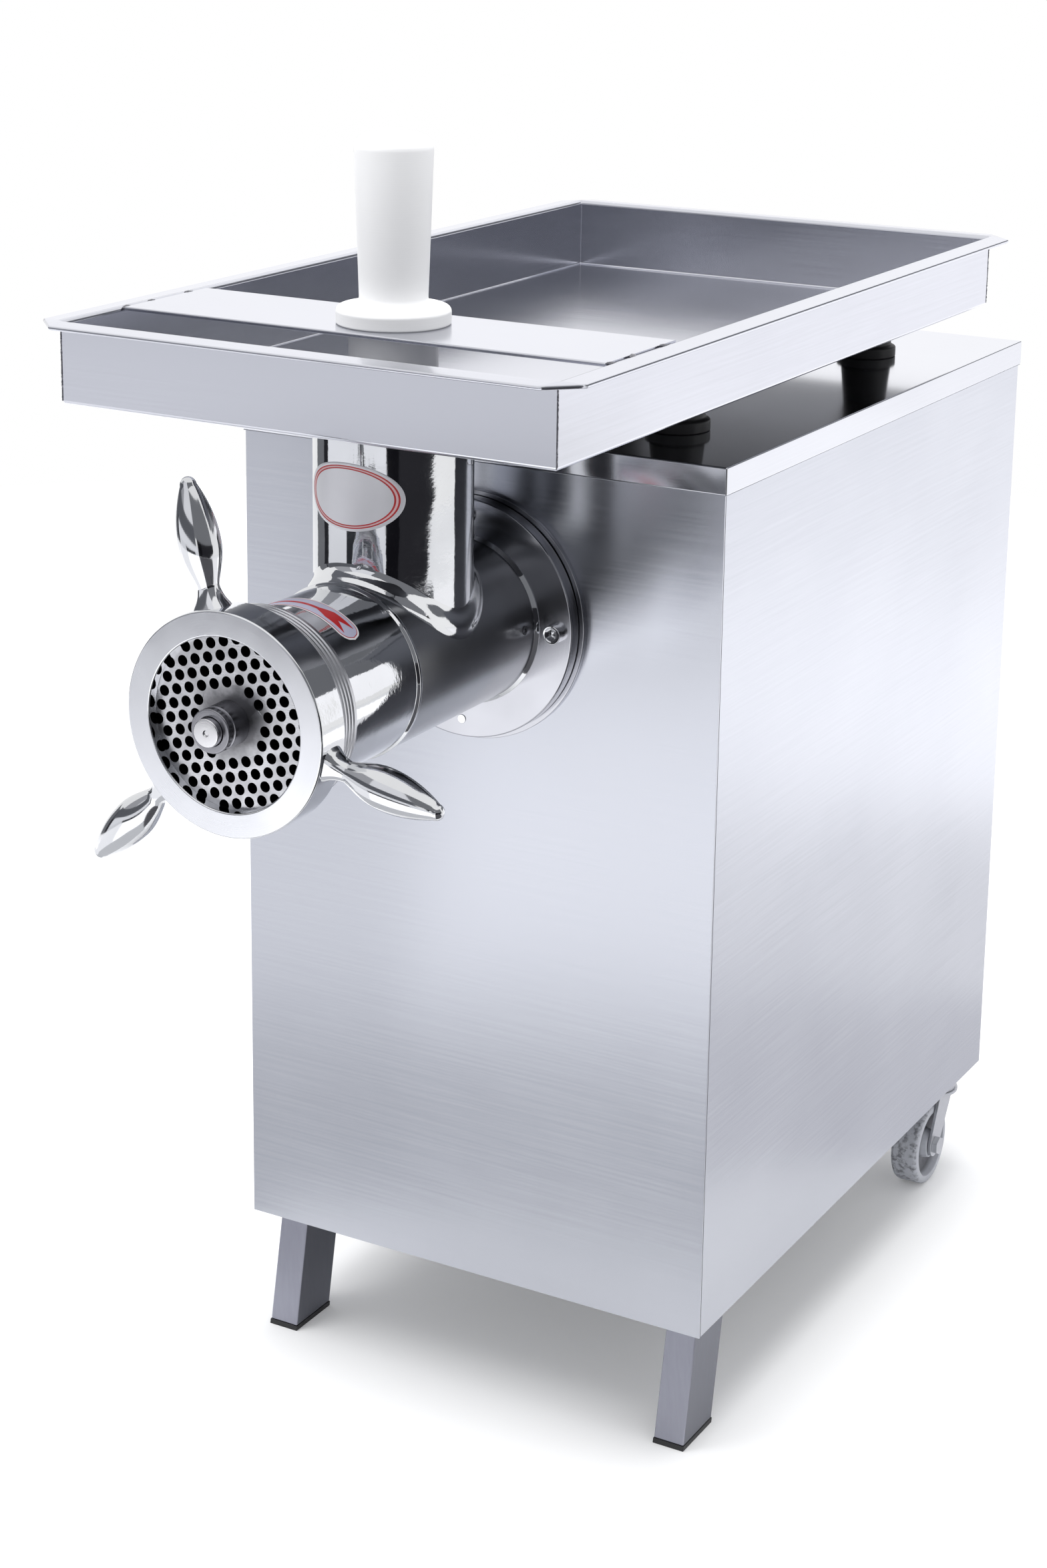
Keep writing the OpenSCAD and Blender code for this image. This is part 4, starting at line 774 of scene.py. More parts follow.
switchSize = {
    "edge": 0.0026, "collarR": 0.0172, "collarOut": 0.0016, "gap": 0.0004,
    "dish": 0.0007, "buttonEdge": 0.0018, "markOut": 0.0003, "markRoot": 0.0012,
    "ringOut": 0.0056, "ringIn": 0.0041, "barHalf": 0.0009, "barTall": 0.0052, "sunk": 0.0005,
    "glandEdge": 0.0007,
}


def buildSwitch():      # two-button switch with generic I and O marks
    size = switchSize
    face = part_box("switch_box")[0].x
    dressed("switchBox", "switch_box", size["edge"], 4, lambda e: e.calc_length() > 0.01)
    places = []
    for node in ("start_button", "stop_button"):
        low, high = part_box(node)
        middle, r = (low + high) / 2, (high.z - low.z) / 2
        places.append(Vector((face, middle.y, middle.z)))
        dish = low.x + size["dish"]
        corners = [(0, dish, 0), (r * 0.55, low.x + size["dish"] * 0.6, 0.004),
                   (r, low.x, size["buttonEdge"]), (r, high.x, 0), (0, high.x, 0)]
        lathe(node, node.replace("_", "Cap"), corners, (0, middle.y, middle.z), "X", 96, False, 5)
        front, root = dish - size["markOut"], low.x + size["markRoot"]
        if node == "start_button":
            wide, tall = size["barHalf"], size["barTall"]
            bar = filleted([(-wide, -tall, wide * 0.5), (wide, -tall, wide * 0.5),
                            (wide, tall, wide * 0.5), (-wide, tall, wide * 0.5)])
            outline = [(middle.y + y, middle.z + z) for y, z in bar]
            mark = extruded("startMark", outline, "X", front, root, [markWhite])
        else:
            ring = [(size["ringIn"], front), (size["ringOut"], front),
                    (size["ringOut"], root), (size["ringIn"], root)]
            mark = turned("stopMark", ring, (0, middle.y, middle.z), "X", [markWhite], 96, True)
        seat(mark, node, hide=False)
    inner, outer, out, sunk = r + size["gap"], size["collarR"], -size["collarOut"], size["sunk"]
    collar = filleted([(inner, sunk, 0), (inner, out, 0.0004),
                       (outer, out, 0.0007), (outer, sunk, 0)])
    pattern = turned("collar", collar, (0, 0, 0), "X", [], 96, True)
    collars = copiesAt("buttonCollars", places, pattern, finishes["black_plastic"])
    seat(collars, "switch_box", hide=False)
    dressed("cableGland", "cable_gland", size["glandEdge"], 3)


buildCabinet()
buildRear()
buildSwitch()
print("cabinet dressed")

# legs and casters
wheelSize = {
    "treadRound": 0.004, "hub": 0.0125, "web": 0.0040, "rim": 0.0305, "bore": 0.0052,
    "draft": 0.002, "edge": 0.001, "root": 0.0015, "boreEdge": 0.0004,
}
gearEdges = {"leg": 0.0012, "pads": 0.0004, "plates": 0.0005, "fork": 0.0006, "axle": 0.0005}


def buildWheel(node, name):
    low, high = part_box(node)
    centre, half, w = middleOf(node), halfWidth(node), wheelSize
    rim, hub, draft = w["rim"], w["hub"], w["draft"]
    side = [((high.z - low.z) / 2, half, w["treadRound"]), (rim, half, w["edge"]),
            (rim - draft, w["web"], w["root"]), (hub + draft, w["web"], w["root"]),
            (hub, half, w["edge"]), (w["bore"], half, w["boreEdge"])]
    corners = [(r, centre.x + x, edge) for r, x, edge in side]
    corners += [(r, centre.x - x, edge) for r, x, edge in reversed(side)]
    lathe(node, name, corners, (0, centre.y, centre.z), "X", 96)


def buildRunningGear():
    for name, node in (("leftLeg", "front_leg_l"), ("rightLeg", "front_leg_r")):
        leg = dressed(name, node, gearEdges["leg"], 3)
        # the side faces get the painted shade
        inked(leg, (finishes["leg_steel"], legSides), lambda face: int(abs(face.normal.x) > 0.9))
    dressed("legPads", "leg_pads", gearEdges["pads"])
    dressed("casterPlates", "caster_plates", gearEdges["plates"])
    for letter, side in (("l", "left"), ("r", "right")):
        buildWheel(f"caster_wheel_{letter}", f"{side}Wheel")
        dressed(f"{side}Fork", f"caster_fork_{letter}", gearEdges["fork"])
        dressed(f"{side}Axle", f"caster_axle_{letter}", gearEdges["axle"])


buildRunningGear()
print("legs and wheels made")

# grinding head
headSize = {
    "weldPlace": -0.320, "weldHalf": 0.0030, "weldRise": 0.0016, "weldEdge": 0.0009,
    "noseReach": 0.026, "ridgePitch": 0.0036, "ridgeDepth": 0.0009, "ridgeRound": 0.00030,
    "noseEdge": 0.001, "edge": 0.0006, "knifeR": 0.060, "knifeRoom": 0.001, "plateGap": 0.0002,
    "keyR": 0.003, "keyIn": 0.0003, "keyEdge": 0.0004, "keySunk": 0.0005,
    "screwTurn": 86.5, "screwBehind": 0.0175, "screwSunk": 0.0010, "rootBead": 0.0032,
}
barrelR = 0.064
sleeveR, boreR, tailR, throatR = 0.0635, 0.056, 0.0203, 0.054
boltSize = {"headR": 0.00725, "height": 0.007, "socketR": 0.0042, "depth": 0.0045, "edge": 0.0006}
screwSize = {"headR": 0.0034, "height": 0.0016, "socketR": 0.0018, "depth": 0.0012, "edge": 0.0003}


def boltPattern(name, headR, height, socketR, depth, edge):
    # cap screw head about the origin, facing -Y, with a six-sided socket
    bm = bmesh.new()
    turns = [tau * k / 48 for k in range(48)]

    def ring(radii, y):
        return [bm.verts.new((r * sin(a), y, r * cos(a))) for r, a in zip(radii, turns)]

    hexagon = [socketR * sqrt(3) / 2 / cos(a % (pi / 3) - pi / 6) for a in turns]
    loops = [ring([r] * 48, y) for r, y in (
        (headR, 0.0), (headR, edge - height), (headR - edge * 0.3, edge * 0.3 - height),
        (headR - edge, -height))]
    loops += [ring(hexagon, -height), ring(hexagon, depth - height)]
    loops.append([bm.verts.new((0, depth - height, 0))])
    skin(bm, loops)
    bridgeLoops(bm, [bm.verts.new((0, 0, 0))], loops[0])
    return pieceFrom(bm, name, [], 30)


def noseRidges(front, back, top):
    # raised threads behind the ring, from the front edge to the bare collar
    points = []
    pitch, depth = headSize["ridgePitch"], headSize["ridgeDepth"]
    rise = headSize["ridgeRound"]
    place = front
    while place + pitch < back - headSize["noseEdge"]:
        points += [(top, place, rise), (top, place + pitch * 0.42, rise),
                   (top - depth, place + pitch * 0.55, rise * 0.6),
                   (top - depth, place + pitch * 0.86, rise * 0.6)]
        place += pitch
    return points + [(top, place, rise)]


def barrelLoop(floor, noseBack):     # the barrel's section, from its mouth to its tail and back
    size = headSize
    front, back = (corner.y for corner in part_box("head_barrel"))
    top, seatR = halfWidth("head_barrel"), halfWidth("die_plate") + size["plateGap"]
    plateBack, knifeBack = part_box("die_plate")[1].y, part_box("knife")[1].y + size["knifeRoom"]
    weld, half, edge, crown = (size[k] for k in ("weldPlace", "weldHalf", "edge", "weldEdge"))
    weldR, bead = sleeveR + size["weldRise"], size["rootBead"]
    noseEdge, knifeR = size["noseEdge"], size["knifeR"]
    return filleted(
        [(seatR, front, edge), (top - noseEdge, front, 0)]
        + noseRidges(front + noseEdge, noseBack, top)
        + [(top, noseBack, noseEdge), (sleeveR, noseBack, 0.0008), (sleeveR, weld - half, edge),
           (weldR, weld - half * 0.35, crown), (weldR, weld + half * 0.35, crown),
           (barrelR, weld + half, edge), (barrelR, floor - bead, 0.0004),
           (barrelR + bead * 0.8, floor - bead * 0.2, 0.0004),
           (barrelR + bead * 0.8, floor + 0.0001, 0), (barrelR, floor + 0.0001, 0),
           (barrelR, back, 0), (tailR, back, 0), (tailR, floor, 0), (boreR, floor, 0),
           (boreR, knifeBack, 0), (knifeR, knifeBack, 0), (knifeR, plateBack, 0),
           (seatR, plateBack, 0)])


def buildBarrel():
    size = headSize
    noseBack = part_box("ring_nut")[1].y + size["noseReach"]
    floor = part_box("head_flange")[0].y
    barrel = turned("headBarrel", barrelLoop(floor, noseBack), headCentre, "Y",
                    [finishes["polished_head"]], 160, True)
    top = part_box("feed_tube")[1].z
    carve(barrel, drill("throatCut", throatR, headAxisZ, top, (0, middleOf("feed_tube").y, 0)))
    weldEnd, tailEnd = size["weldPlace"] + size["weldHalf"], floor - size["rootBead"]

    def zone(face):     # 1 for the threaded nose, 2 for the tail, which gets painted shade
        place = face.center.y
        tail = weldEnd < place < tailEnd or place > floor
        return 1 if place < noseBack - 0.0005 else 2 if tail else 0

    inked(barrel, (finishes["polished_head"], noseSteel, tailSteel), zone)
    seat(barrel, "head_barrel")
    screw = boltPattern("setScrew", **screwSize)
    screw.data.materials.append(finishes["dark_steel"])
    angle = radians(size["screwTurn"])
    place = Vector((sin(angle), 0, cos(angle))) * (barrelR - size["screwSunk"])
    place += Vector((0, floor - size["screwBehind"], headAxisZ))
    screw.data.transform(Matrix.Translation(place) @ Matrix.Rotation(angle - pi / 2, 4, "Y")
                         @ Matrix.Rotation(pi / 2, 4, "Z"))
    seat(screw, "head_barrel", hide=False)
    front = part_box("head_barrel")[0].y + size["keyIn"]
    back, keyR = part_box("die_plate")[1].y, size["keyR"]
    seatR = halfWidth("die_plate") + size["plateGap"]
    corners = [(0, front, 0), (keyR, front, size["keyEdge"]), (keyR, back, 0), (0, back, 0)]
    lathe("head_barrel", "plateKey", corners, (0, 0, headAxisZ - seatR + size["keySunk"]), "Y",
          32, False, finish=finishes["dark_steel"], hide=False)


tubeSize = {
    "skirt": 0.020, "lipEdge": 0.0008, "bite": 0.0006, "filletUp": 0.013, "filletOut": 0.012,
    "filletBulge": 0.0022, "footFrom": 0.6, "footSunk": 0.0003, "weldRoot": 0.002, "parts": 10,
    "rounds": 144,
}


def saddlePoint(angle, r):  # where the tube's wall meets the barrel
    x, y = r * sin(angle), -r * cos(angle)
    return Vector((x, y, sqrt(max(barrelR ** 2 - x ** 2, 0))))


def buildTube():
    size = tubeSize
    middle, r = middleOf("feed_tube"), halfWidth("feed_tube")
    top, skirt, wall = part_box("feed_tube")[1].z, headAxisZ + size["skirt"], r - throatR
    loop = filleted([(r, skirt, 0), (r, top, size["lipEdge"]), (r - wall, top, size["lipEdge"]),
                     (r - wall, skirt, 0)])
    tube = turned("feedTube", loop, (0, middle.y, 0), "Z", [finishes["polished_head"]], 160, True)
    core = drill("barrelCut", barrelR - size["bite"], -1.0, 1.0, headCentre, "Y", 160)
    seat(carve(tube, core), "feed_tube")

    # weld between tube and barrel, ground to a soft rim
    bm = bmesh.new()
    loops = []
    for angle in steps(0, tau, size["rounds"])[:-1]:
        root = saddlePoint(angle, r)
        outward = Vector((sin(angle), -cos(angle), 0))
        normal = Vector((root.x, 0, root.z)).normalized()
        across = (outward - normal * outward.dot(normal)).normalized()
        section = []
        for t in steps(0, 1, size["parts"]):
            point = (root + Vector((0, 0, size["filletUp"])) * (1 - t) ** 2
                     + across * (size["filletOut"] * t ** 2))
            lift = size["filletBulge"] * sin(pi * t) ** 1.5
            point += (outward + normal).normalized() * lift
            if t > size["footFrom"]:      # the foot follows the barrel's curve
                flat = Vector((point.x, 0, point.z))
                share = (t - size["footFrom"]) / (1 - size["footFrom"])
                above = (flat.length - barrelR) * (1 - share) - size["footSunk"] * share
                foot = flat.normalized() * (barrelR + above)
                point = Vector((foot.x, point.y, foot.z))
            section.append(point)
        section.append(root - outward * size["weldRoot"] - normal * size["weldRoot"])
        loops.append([bm.verts.new(p + Vector((0, middle.y, headAxisZ))) for p in section])
    skin(bm, loops, closed=True)
    rim = pieceFrom(bm, "tubeWeld", [finishes["polished_head"]], 60)
    seat(rim, "feed_tube", hide=False)


flangeSize = {
    "boreR": 0.0638, "edge": 0.0012, "relief": 0.0012, "rim": 0.004, "discBoreR": 0.030,
    "discEdge": 0.0005, "plugR": 0.0036, "plugOut": 0.0006, "plugEdge": 0.0003, "plugIn": 0.001,
}


def buildFlange():
    size = flangeSize
    low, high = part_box("head_flange")
    front, boreR, r = low.y, size["boreR"], halfWidth("head_flange")
    step, rimR = high.y - size["relief"], r - size["rim"]
    corners = [(boreR, front, 0), (r, front, size["edge"]), (r, step, 0.0004),
               (rimR, step, 0), (rimR, high.y, 0), (boreR, high.y, 0)]
    lathe("head_flange", "headFlange", corners, headCentre, finish=flangeFace)
    low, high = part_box("mounting_disc")
    boreR, r, edge = size["discBoreR"], halfWidth("mounting_disc"), size["discEdge"]
    corners = [(boreR, low.y, 0), (r, low.y, edge), (r, high.y, edge * 0.5), (boreR, high.y, 0)]
    lathe("mounting_disc", "mountingDisc", corners, headCentre, finish=flangeFace)
    places = [Vector(((a.x + b.x) / 2, front, (a.z + b.z) / 2))
              for a, b in looseBoxes("flange_bolts")]
    places.sort(key=lambda place: place.z)
    pattern = boltPattern("boltHead", **boltSize)
    bolts = copiesAt("flangeBolts", places[1:], pattern, chromeSteel, 0.5, (0, 1, 0), 30)
    seat(bolts, "flange_bolts")
    r, out, root = size["plugR"], front - size["plugOut"], front + size["plugIn"]
    corners = [(0, out, 0), (r, out, size["plugEdge"]), (r, root, 0), (0, root, 0)]
    lathe("flange_bolts", "flangePlug", corners, places[0], "Y", 48, False,
          finish=chromeSteel, hide=False)


buildBarrel()
buildTube()
buildFlange()
print("head made")

# ring nut and plate
ringSize = {
    "mouthR": 0.061, "mouthEdge": 0.0012, "boreR": 0.0718, "frontEdge": 0.0014, "backEdge": 0.0012,
}
handleSize = {
    "rootHalfWidth": 0.0185, "rootHalfDepth": 0.0132, "rootIn": 0.006, "neck": 0.0075,
    "neckAt": 0.0925, "tip": 0.167, "belly": 0.0145, "bellyAt": 0.42, "tipR": 0.0058,
    "wideFlare": 2.3, "deepFlare": 1.7, "squareness": 1.4, "rounds": 40,
}


def buildRing():
    low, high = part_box("ring_nut")
    r, mouthR, boreR = halfWidth("ring_nut"), ringSize["mouthR"], ringSize["boreR"]
    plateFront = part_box("die_plate")[0].y
    corners = [(mouthR, low.y, ringSize["mouthEdge"]), (r, low.y, ringSize["frontEdge"]),
               (r, high.y, ringSize["backEdge"]), (boreR, high.y, 0.0006),
               (boreR, plateFront, 0), (mouthR, plateFront, 0.0003)]
    ring = lathe("ring_nut", "ringNut", corners, headCentre, parts=5)
    inked(ring, (finishes["polished_head"], ringFace),
          lambda face: int(face.normal.y < -0.9 and face.center.y < low.y + 0.001))


def handleRadius(s):  # radius of the grip at a share of its length from the neck
    size = handleSize
    at = size["bellyAt"]
    if s < at:
        return size["neck"] + (size["belly"] - size["neck"]) * sin(pi / 2 * s / at) ** 1.15
    fall = (s - at) / (1 - at)
    return size["tipR"] + (size["belly"] - size["tipR"]) * cos(pi / 2 * fall ** 1.12) ** 0.92


def handleStations(ringR):     # (distance out, half width, half depth, squareness) along it
    size = handleSize
    neck, neckAt, tipR, root = size["neck"], size["neckAt"], size["tipR"], ringR - size["rootIn"]
    stations = []
    for t in steps(0, 1, 14):
        wide = neck + (size["rootHalfWidth"] - neck) * (1 - t) ** size["wideFlare"]
        deep = neck + (size["rootHalfDepth"] - neck) * (1 - t) ** size["deepFlare"]
        stations.append((root + (neckAt - root) * t, wide, deep, 2 + size["squareness"] * (1 - t)))
    length = size["tip"] - neckAt - tipR
    for s in steps(0, 1, 30)[1:]:
        stations.append((neckAt + length * s, handleRadius(s), handleRadius(s), 2))
    for a in steps(0, pi / 2, 6)[1:]:
        stations.append((size["tip"] - tipR * (1 - sin(a)), tipR * cos(a), tipR * cos(a), 2))
    return stations


def buildHandle(node, name):
    ringR, rounds = halfWidth("ring_nut"), handleSize["rounds"]
    base = Vector((0, middleOf("ring_nut").y, headAxisZ))
    # it points from the head's axis to the middle of its own box
    centre = middleOf(node)
    out = Vector((centre.x, 0, centre.z - headAxisZ)).normalized()
    side = Vector((out.z, 0, -out.x))
    bm = bmesh.new()
    loops = []
    for u, wide, deep, power in handleStations(ringR):
        if wide < 1e-6:
            loops.append([bm.verts.new(base + out * u)])
            continue
        loop = []
        for j in range(rounds):
            c, s = cos(tau * j / rounds), sin(tau * j / rounds)
            x = wide * (1 if c > 0 else -1) * abs(c) ** (2 / power)
            y = deep * (1 if s > 0 else -1) * abs(s) ** (2 / power)
            drop = ringR - sqrt(max(ringR ** 2 - x ** 2, 0)) if u < ringR else 0
            loop.append(bm.verts.new(base + out * (u - drop) + side * x + Vector((0, y, 0))))
        loops.append(loop)
    inside = ringR - handleSize["rootIn"] - 0.001
    bridgeLoops(bm, [bm.verts.new(base + out * inside)], loops[0])
    skin(bm, loops)
    seat(pieceFrom(bm, name, [handleSteel], 60, even=False), node)


bushSize = {
    "boreR": 0.0103, "boreEdge": 0.0006, "edge": 0.001, "grooveFrom": 0.0050, "grooveTo": 0.0076,
    "grooveSlope": 0.0006, "grooveDeep": 0.0012,
}
pinSize = {"centreDeep": 0.0012, "centreR": 0.0016, "coneR": 0.0024, "edge": 0.0010}


def buildPlate():
    bm = bmesh.new()
    bm.from_mesh(frame["nodes"]["die_plate"].data)
    plate = seat(pieceFrom(bm, "diePlate", []), "die_plate")
    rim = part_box("die_plate")[1].x - 0.001

    def inHole(face):
        inside = Vector((face.center.x, 0, face.center.z - headAxisZ)).length < rim
        return int(inside and abs(face.normal.y) < 0.5)

    # the walls of the holes get the painted shade
    inked(plate, (finishes["tool_steel"], holeWallShade), inHole)
    size = bushSize
    low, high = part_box("plate_bush")
    r, boreR, slope = halfWidth("plate_bush"), size["boreR"], size["grooveSlope"]
    start, end = low.y + size["grooveFrom"], low.y + size["grooveTo"]
    grooveR = r - size["grooveDeep"]
    corners = [(boreR, low.y, size["boreEdge"]), (r, low.y, size["edge"]), (r, start, 0.0003),
               (grooveR, start + slope, 0.0002), (grooveR, end - slope, 0.0002), (r, end, 0.0003),
               (r, high.y, 0), (boreR, high.y, 0)]
    lathe("plate_bush", "plateBush", corners, headCentre, "Y", 96, finish=bushSteel)
    size = pinSize
    low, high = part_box("worm_pin")
    r, deep = halfWidth("worm_pin"), low.y + size["centreDeep"]
    corners = [(0, deep, 0), (size["centreR"], deep, 0), (size["coneR"], low.y, 0.0003),
               (r, low.y, size["edge"]), (r, high.y, 0), (0, high.y, 0)]
    lathe("worm_pin", "wormPin", corners, headCentre, "Y", 64, False, 3, pinSteel)


buildRing()
for number in (1, 2, 3):
    buildHandle(f"ring_handle_{number}", f"ringHandle{number}")
buildPlate()
print("ring and plate made")

# tray, bridge and plunger
traySize = {
    "sheet": 0.0015, "corner": 0.0016, "floorBend": 0.0032, "lipBend": 0.0022,
    "lip": 0.019, "lipFall": 0.0010, "hem": 0.009, "hemGap": 0.0002, "cut": 0.024,
    "cutFrom": 0.003, "cornerSteps": 6,
}
seamSize = {"bead": 0.0007, "pitch": 0.0010, "in": 0.00025, "low": 0.003, "high": 0.0045}


def trayOutline(bm, halfX, frontY, backY, size, z, straight):
    # one level of the tray: rounded corners on the walls, corners cut straight on the lip
    loop = []
    corners = [(halfX, frontY, -1), (halfX, backY, 1), (-halfX, backY, 1), (-halfX, frontY, -1)]
    for i, (x, y, way) in enumerate(corners):
        centre = Vector((x - size * (1 if x > 0 else -1), y - size * way, z))
        start = radians(-90 + 90 * i)
        ends = [centre + size * Vector((cos(a), sin(a), 0)) for a in (start, start + pi / 2)]
        for s in steps(0, 1, traySize["cornerSteps"]):
            a = start + pi / 2 * s
            arc = centre + size * Vector((cos(a), sin(a), 0))
            loop.append(bm.verts.new(ends[0].lerp(ends[1], s) if straight else arc))
    return loop


def trayLevels(bottom, top):
    # (growth beyond the wall, corner size, height, corner cut straight), from the floor's
    # underside out to the lip's folded edge and back in to the floor
    size = traySize
    sheet, lip, bend, inner = size["sheet"], size["lip"], size["floorBend"], size["lipBend"]
    levels = []

    def wallLevel(grow, z, least=0.0004):
        levels.append((grow, max(size["corner"] + grow, least), z, False))

    def lipLevel(grow, z):
        share, straight = grow / lip, grow > size["cutFrom"]
        corner = max(size["corner"] + grow, size["cut"] * share if straight else 0)
        levels.append((grow, corner, z - size["lipFall"] * share, straight))

    for a in steps(0, pi / 2, 4):      # outer bend at the floor
        wallLevel(bend * (sin(a) - 1), bottom + bend * (1 - cos(a)))
    for a in steps(0, pi / 2, 3):      # bend under the lip
        lipLevel(inner * (1 - cos(a)), top - sheet - inner * (1 - sin(a)))
    hemStart, gap = lip - size["hem"], size["hemGap"]
    lipLevel(hemStart, top - sheet)
    lipLevel(hemStart + gap, top - 2 * sheet + gap)
    for a in steps(-pi / 2, pi / 2, 6):      # folded edge
        lipLevel(lip - sheet + sheet * cos(a), top - sheet + sheet * sin(a))
    outer = inner + sheet
    for a in steps(0, pi / 2, 3):      # bend from the lip's top into the wall
        wallLevel(-sheet + outer * (1 - sin(a)), top - outer * (1 - cos(a)), 0.0006)
    inner = bend - sheet
    for a in steps(0, pi / 2, 3):      # inner bend at the floor
        wallLevel(-sheet - inner * (1 - cos(a)), bottom + sheet + inner * (1 - sin(a)))
    return levels


def buildTray():
    low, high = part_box("tray")
    sheet, lip, bottom = traySize["sheet"], traySize["lip"], low.z
    halfX, frontY, backY = high.x - lip, low.y + lip, high.y - lip
    bm = bmesh.new()
    loops = [trayOutline(bm, halfX + grow, frontY - grow, backY + grow, corner, z, straight)
             for grow, corner, z, straight in trayLevels(bottom, high.z)]
    skin(bm, loops)
    bm.faces.new(loops[0])
    bm.faces.new(loops[-1])
    tray = pieceFrom(bm, "feedTray", [finishes["tray_sheet"]], 40)
    collarLow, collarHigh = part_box("tray_collar")
    place, r = (0, middleOf("tray_collar").y, 0), halfWidth("tray_collar")
    hole = drill("throatCut", r - sheet, bottom - cutterRoom, bottom + cutterRoom, place)
    carve(tray, hole, bend=40)
    inked(tray, (finishes["tray_sheet"], millSheet),      # its underside gets painted shade
          lambda face: int(face.normal.z < -0.9 and face.center.z < bottom + sheet / 2))
    seat(tray, "tray")
    corners = [(r, collarLow.z, 0.0004), (r, collarHigh.z, 0), (r - sheet, collarHigh.z, 0),
               (r - sheet, collarLow.z, 0.0004)]
    lathe("tray_collar", "trayCollar", corners, place, "Z", 128)


def buildSeams():  # welded corners of the tray, as a line of small beads
    low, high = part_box("tray")
    size = seamSize
    inset = traySize["lip"] + size["in"]
    bottom, top = low.z + size["low"], high.z - size["high"]
    count = round((top - bottom) / size["pitch"])
    growth = Growth("traySeams", {"bead": size["bead"], "pitch": size["pitch"],
                                  "count": float(count)})
    run = growth.node("ShaderNodeCombineXYZ", None, {"Z": growth.size("pitch")})
    line = growth.node("GeometryNodeMeshLine", {"mode": "OFFSET"},
                       {"Count": growth.size("count"), "Offset": run})
    rows = growth.node("GeometryNodeInstanceOnPoints", None,
                       {"Points": growth.start, "Instance": line})
    rows = growth.node("GeometryNodeRealizeInstances", None, {"Geometry": rows})
    bead = growth.node("GeometryNodeMeshIcoSphere", None,
                       {"Radius": growth.size("bead"), "Subdivisions": 2})
    drift = growth.node("FunctionNodeRandomValue", {"data_type": "FLOAT_VECTOR"},
                        {0: (0.5, 0.5, 0.8), 1: (1.15, 1.15, 2.0), "Seed": 3})
    beads = growth.node("GeometryNodeInstanceOnPoints", None,
                        {"Points": rows, "Instance": bead, "Scale": drift})
    corners = [(x, y, bottom) for x in (low.x + inset, high.x - inset)
               for y in (low.y + inset, high.y - inset)]
    seat(growth.grow(beads, seamSteel, pointMesh("seamCorners", corners), 60), "tray", hide=False)


bridgeSize = {
    "sheet": 0.0016, "bend": 0.0012, "fold": 0.0028, "edge": 0.0004, "endGap": 0.0014,
    "holeR": 0.0325, "tackR": 0.0026, "tackLong": 1.9, "tackFlat": 0.55, "tackWave": 0.0003,
    "tackIn": 0.0010, "tackPlaces": (-0.46, -0.16, 0.30),      # shares of its depth
}


def buildBridge():
    low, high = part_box("bridge")
    size = bridgeSize
    t, bend, edge = size["sheet"], size["bend"], size["edge"]
    y0, y1, z1 = low.y, high.y, high.z
    z0 = z1 - size["fold"]
    outline = filleted([(y0, z0, edge), (y0, z1, bend), (y1, z1, bend), (y1, z0, edge),
                        (y1 - t, z0, edge), (y1 - t, z1 - t, edge),
                        (y0 + t, z1 - t, edge), (y0 + t, z0, edge)])
    half = high.x - size["endGap"]
    bridge = extruded("trayBridge", outline, "X", -half, half, [finishes["tray_sheet"]])
    hole = drill("holeCut", size["holeR"], z0 - cutterRoom, z1 + cutterRoom, plungerCentre, "Z", 96)
    seat(carve(bridge, hole), "bridge")

    # tack welds that hold its ends to the tray's walls
    bm = bmesh.new()
    bmesh.ops.create_icosphere(bm, subdivisions=3, radius=size["tackR"])
    for v in bm.verts:
        v.co.y *= size["tackLong"]
        v.co.z *= size["tackFlat"]
        v.co += v.normal * size["tackWave"] * sin(v.co.y * 3000) * cos(v.co.x * 2500)
    pattern = pieceFrom(bm, "tack", [], 60)
    places = [Vector((side * high.x, plungerCentre[1] + share * (y1 - y0), z1 - size["tackIn"]))
              for side in (-1, 1) for share in size["tackPlaces"]]
    seat(copiesAt("bridgeTacks", places, pattern, seamSteel, 0.4, (0.3, 0.2, 1), 60),
         "bridge", hide=False)


plungerSize = {
    "shank": 0.032, "shankEdge": 0.003, "neckEdge": 0.0006, "disc": 0.041, "discT": 0.013,
    "underEdge": 0.0015, "discEdge": 0.0045, "grip": 0.0243, "gripTop": 0.0284, "fillet": 0.006,
    "topEdge": 0.010,
}


def buildPlunger():
    low, high = plungerBox
    size = plungerSize
    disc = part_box("tray")[1].z
    discTop = disc + size["discT"]
    corners = [(0, low.z, 0), (size["shank"], low.z, size["shankEdge"]),
               (size["shank"], disc, size["neckEdge"]), (size["disc"], disc, size["underEdge"]),
               (size["disc"], discTop, size["discEdge"]), (size["grip"], discTop, size["fillet"]),
               (size["gripTop"], high.z, size["topEdge"]), (0, high.z, 0)]
    lathe("plunger", "whitePlunger", corners, plungerCentre, "Z", 144, False, 8)


footSize = {
    "soleEdge": 0.001, "baseTall": 0.0085, "baseEdge": 0.0018, "neckR": 0.0212,
    "neckAt": 0.0100, "neckEdge": 0.0020, "topR": 0.0178, "topEdge": 0.0015,
}


def buildFeet():
    size = footSize
    boxes = looseBoxes("tray_feet")
    low, high = boxes[0]
    r, tall = (high.x - low.x) / 2, high.z - low.z
    profile = filleted([(0, 0, 0), (r, 0, size["soleEdge"]),
                        (r, size["baseTall"], size["baseEdge"]),
                        (size["neckR"], size["neckAt"], size["neckEdge"]),
                        (size["topR"], tall, size["topEdge"]), (0, tall, 0)], 5)
    pattern = turned("foot", profile, (0, 0, 0), "Z", [], 96)
    places = [Vector(((a.x + b.x) / 2, (a.y + b.y) / 2, a.z)) for a, b in boxes]
    seat(copiesAt("trayFeet", places, pattern, finishes["black_rubber"]), "tray_feet")


buildTray()
buildSeams()
buildBridge()
buildPlunger()
buildFeet()
print("tray, bridge and plunger made")

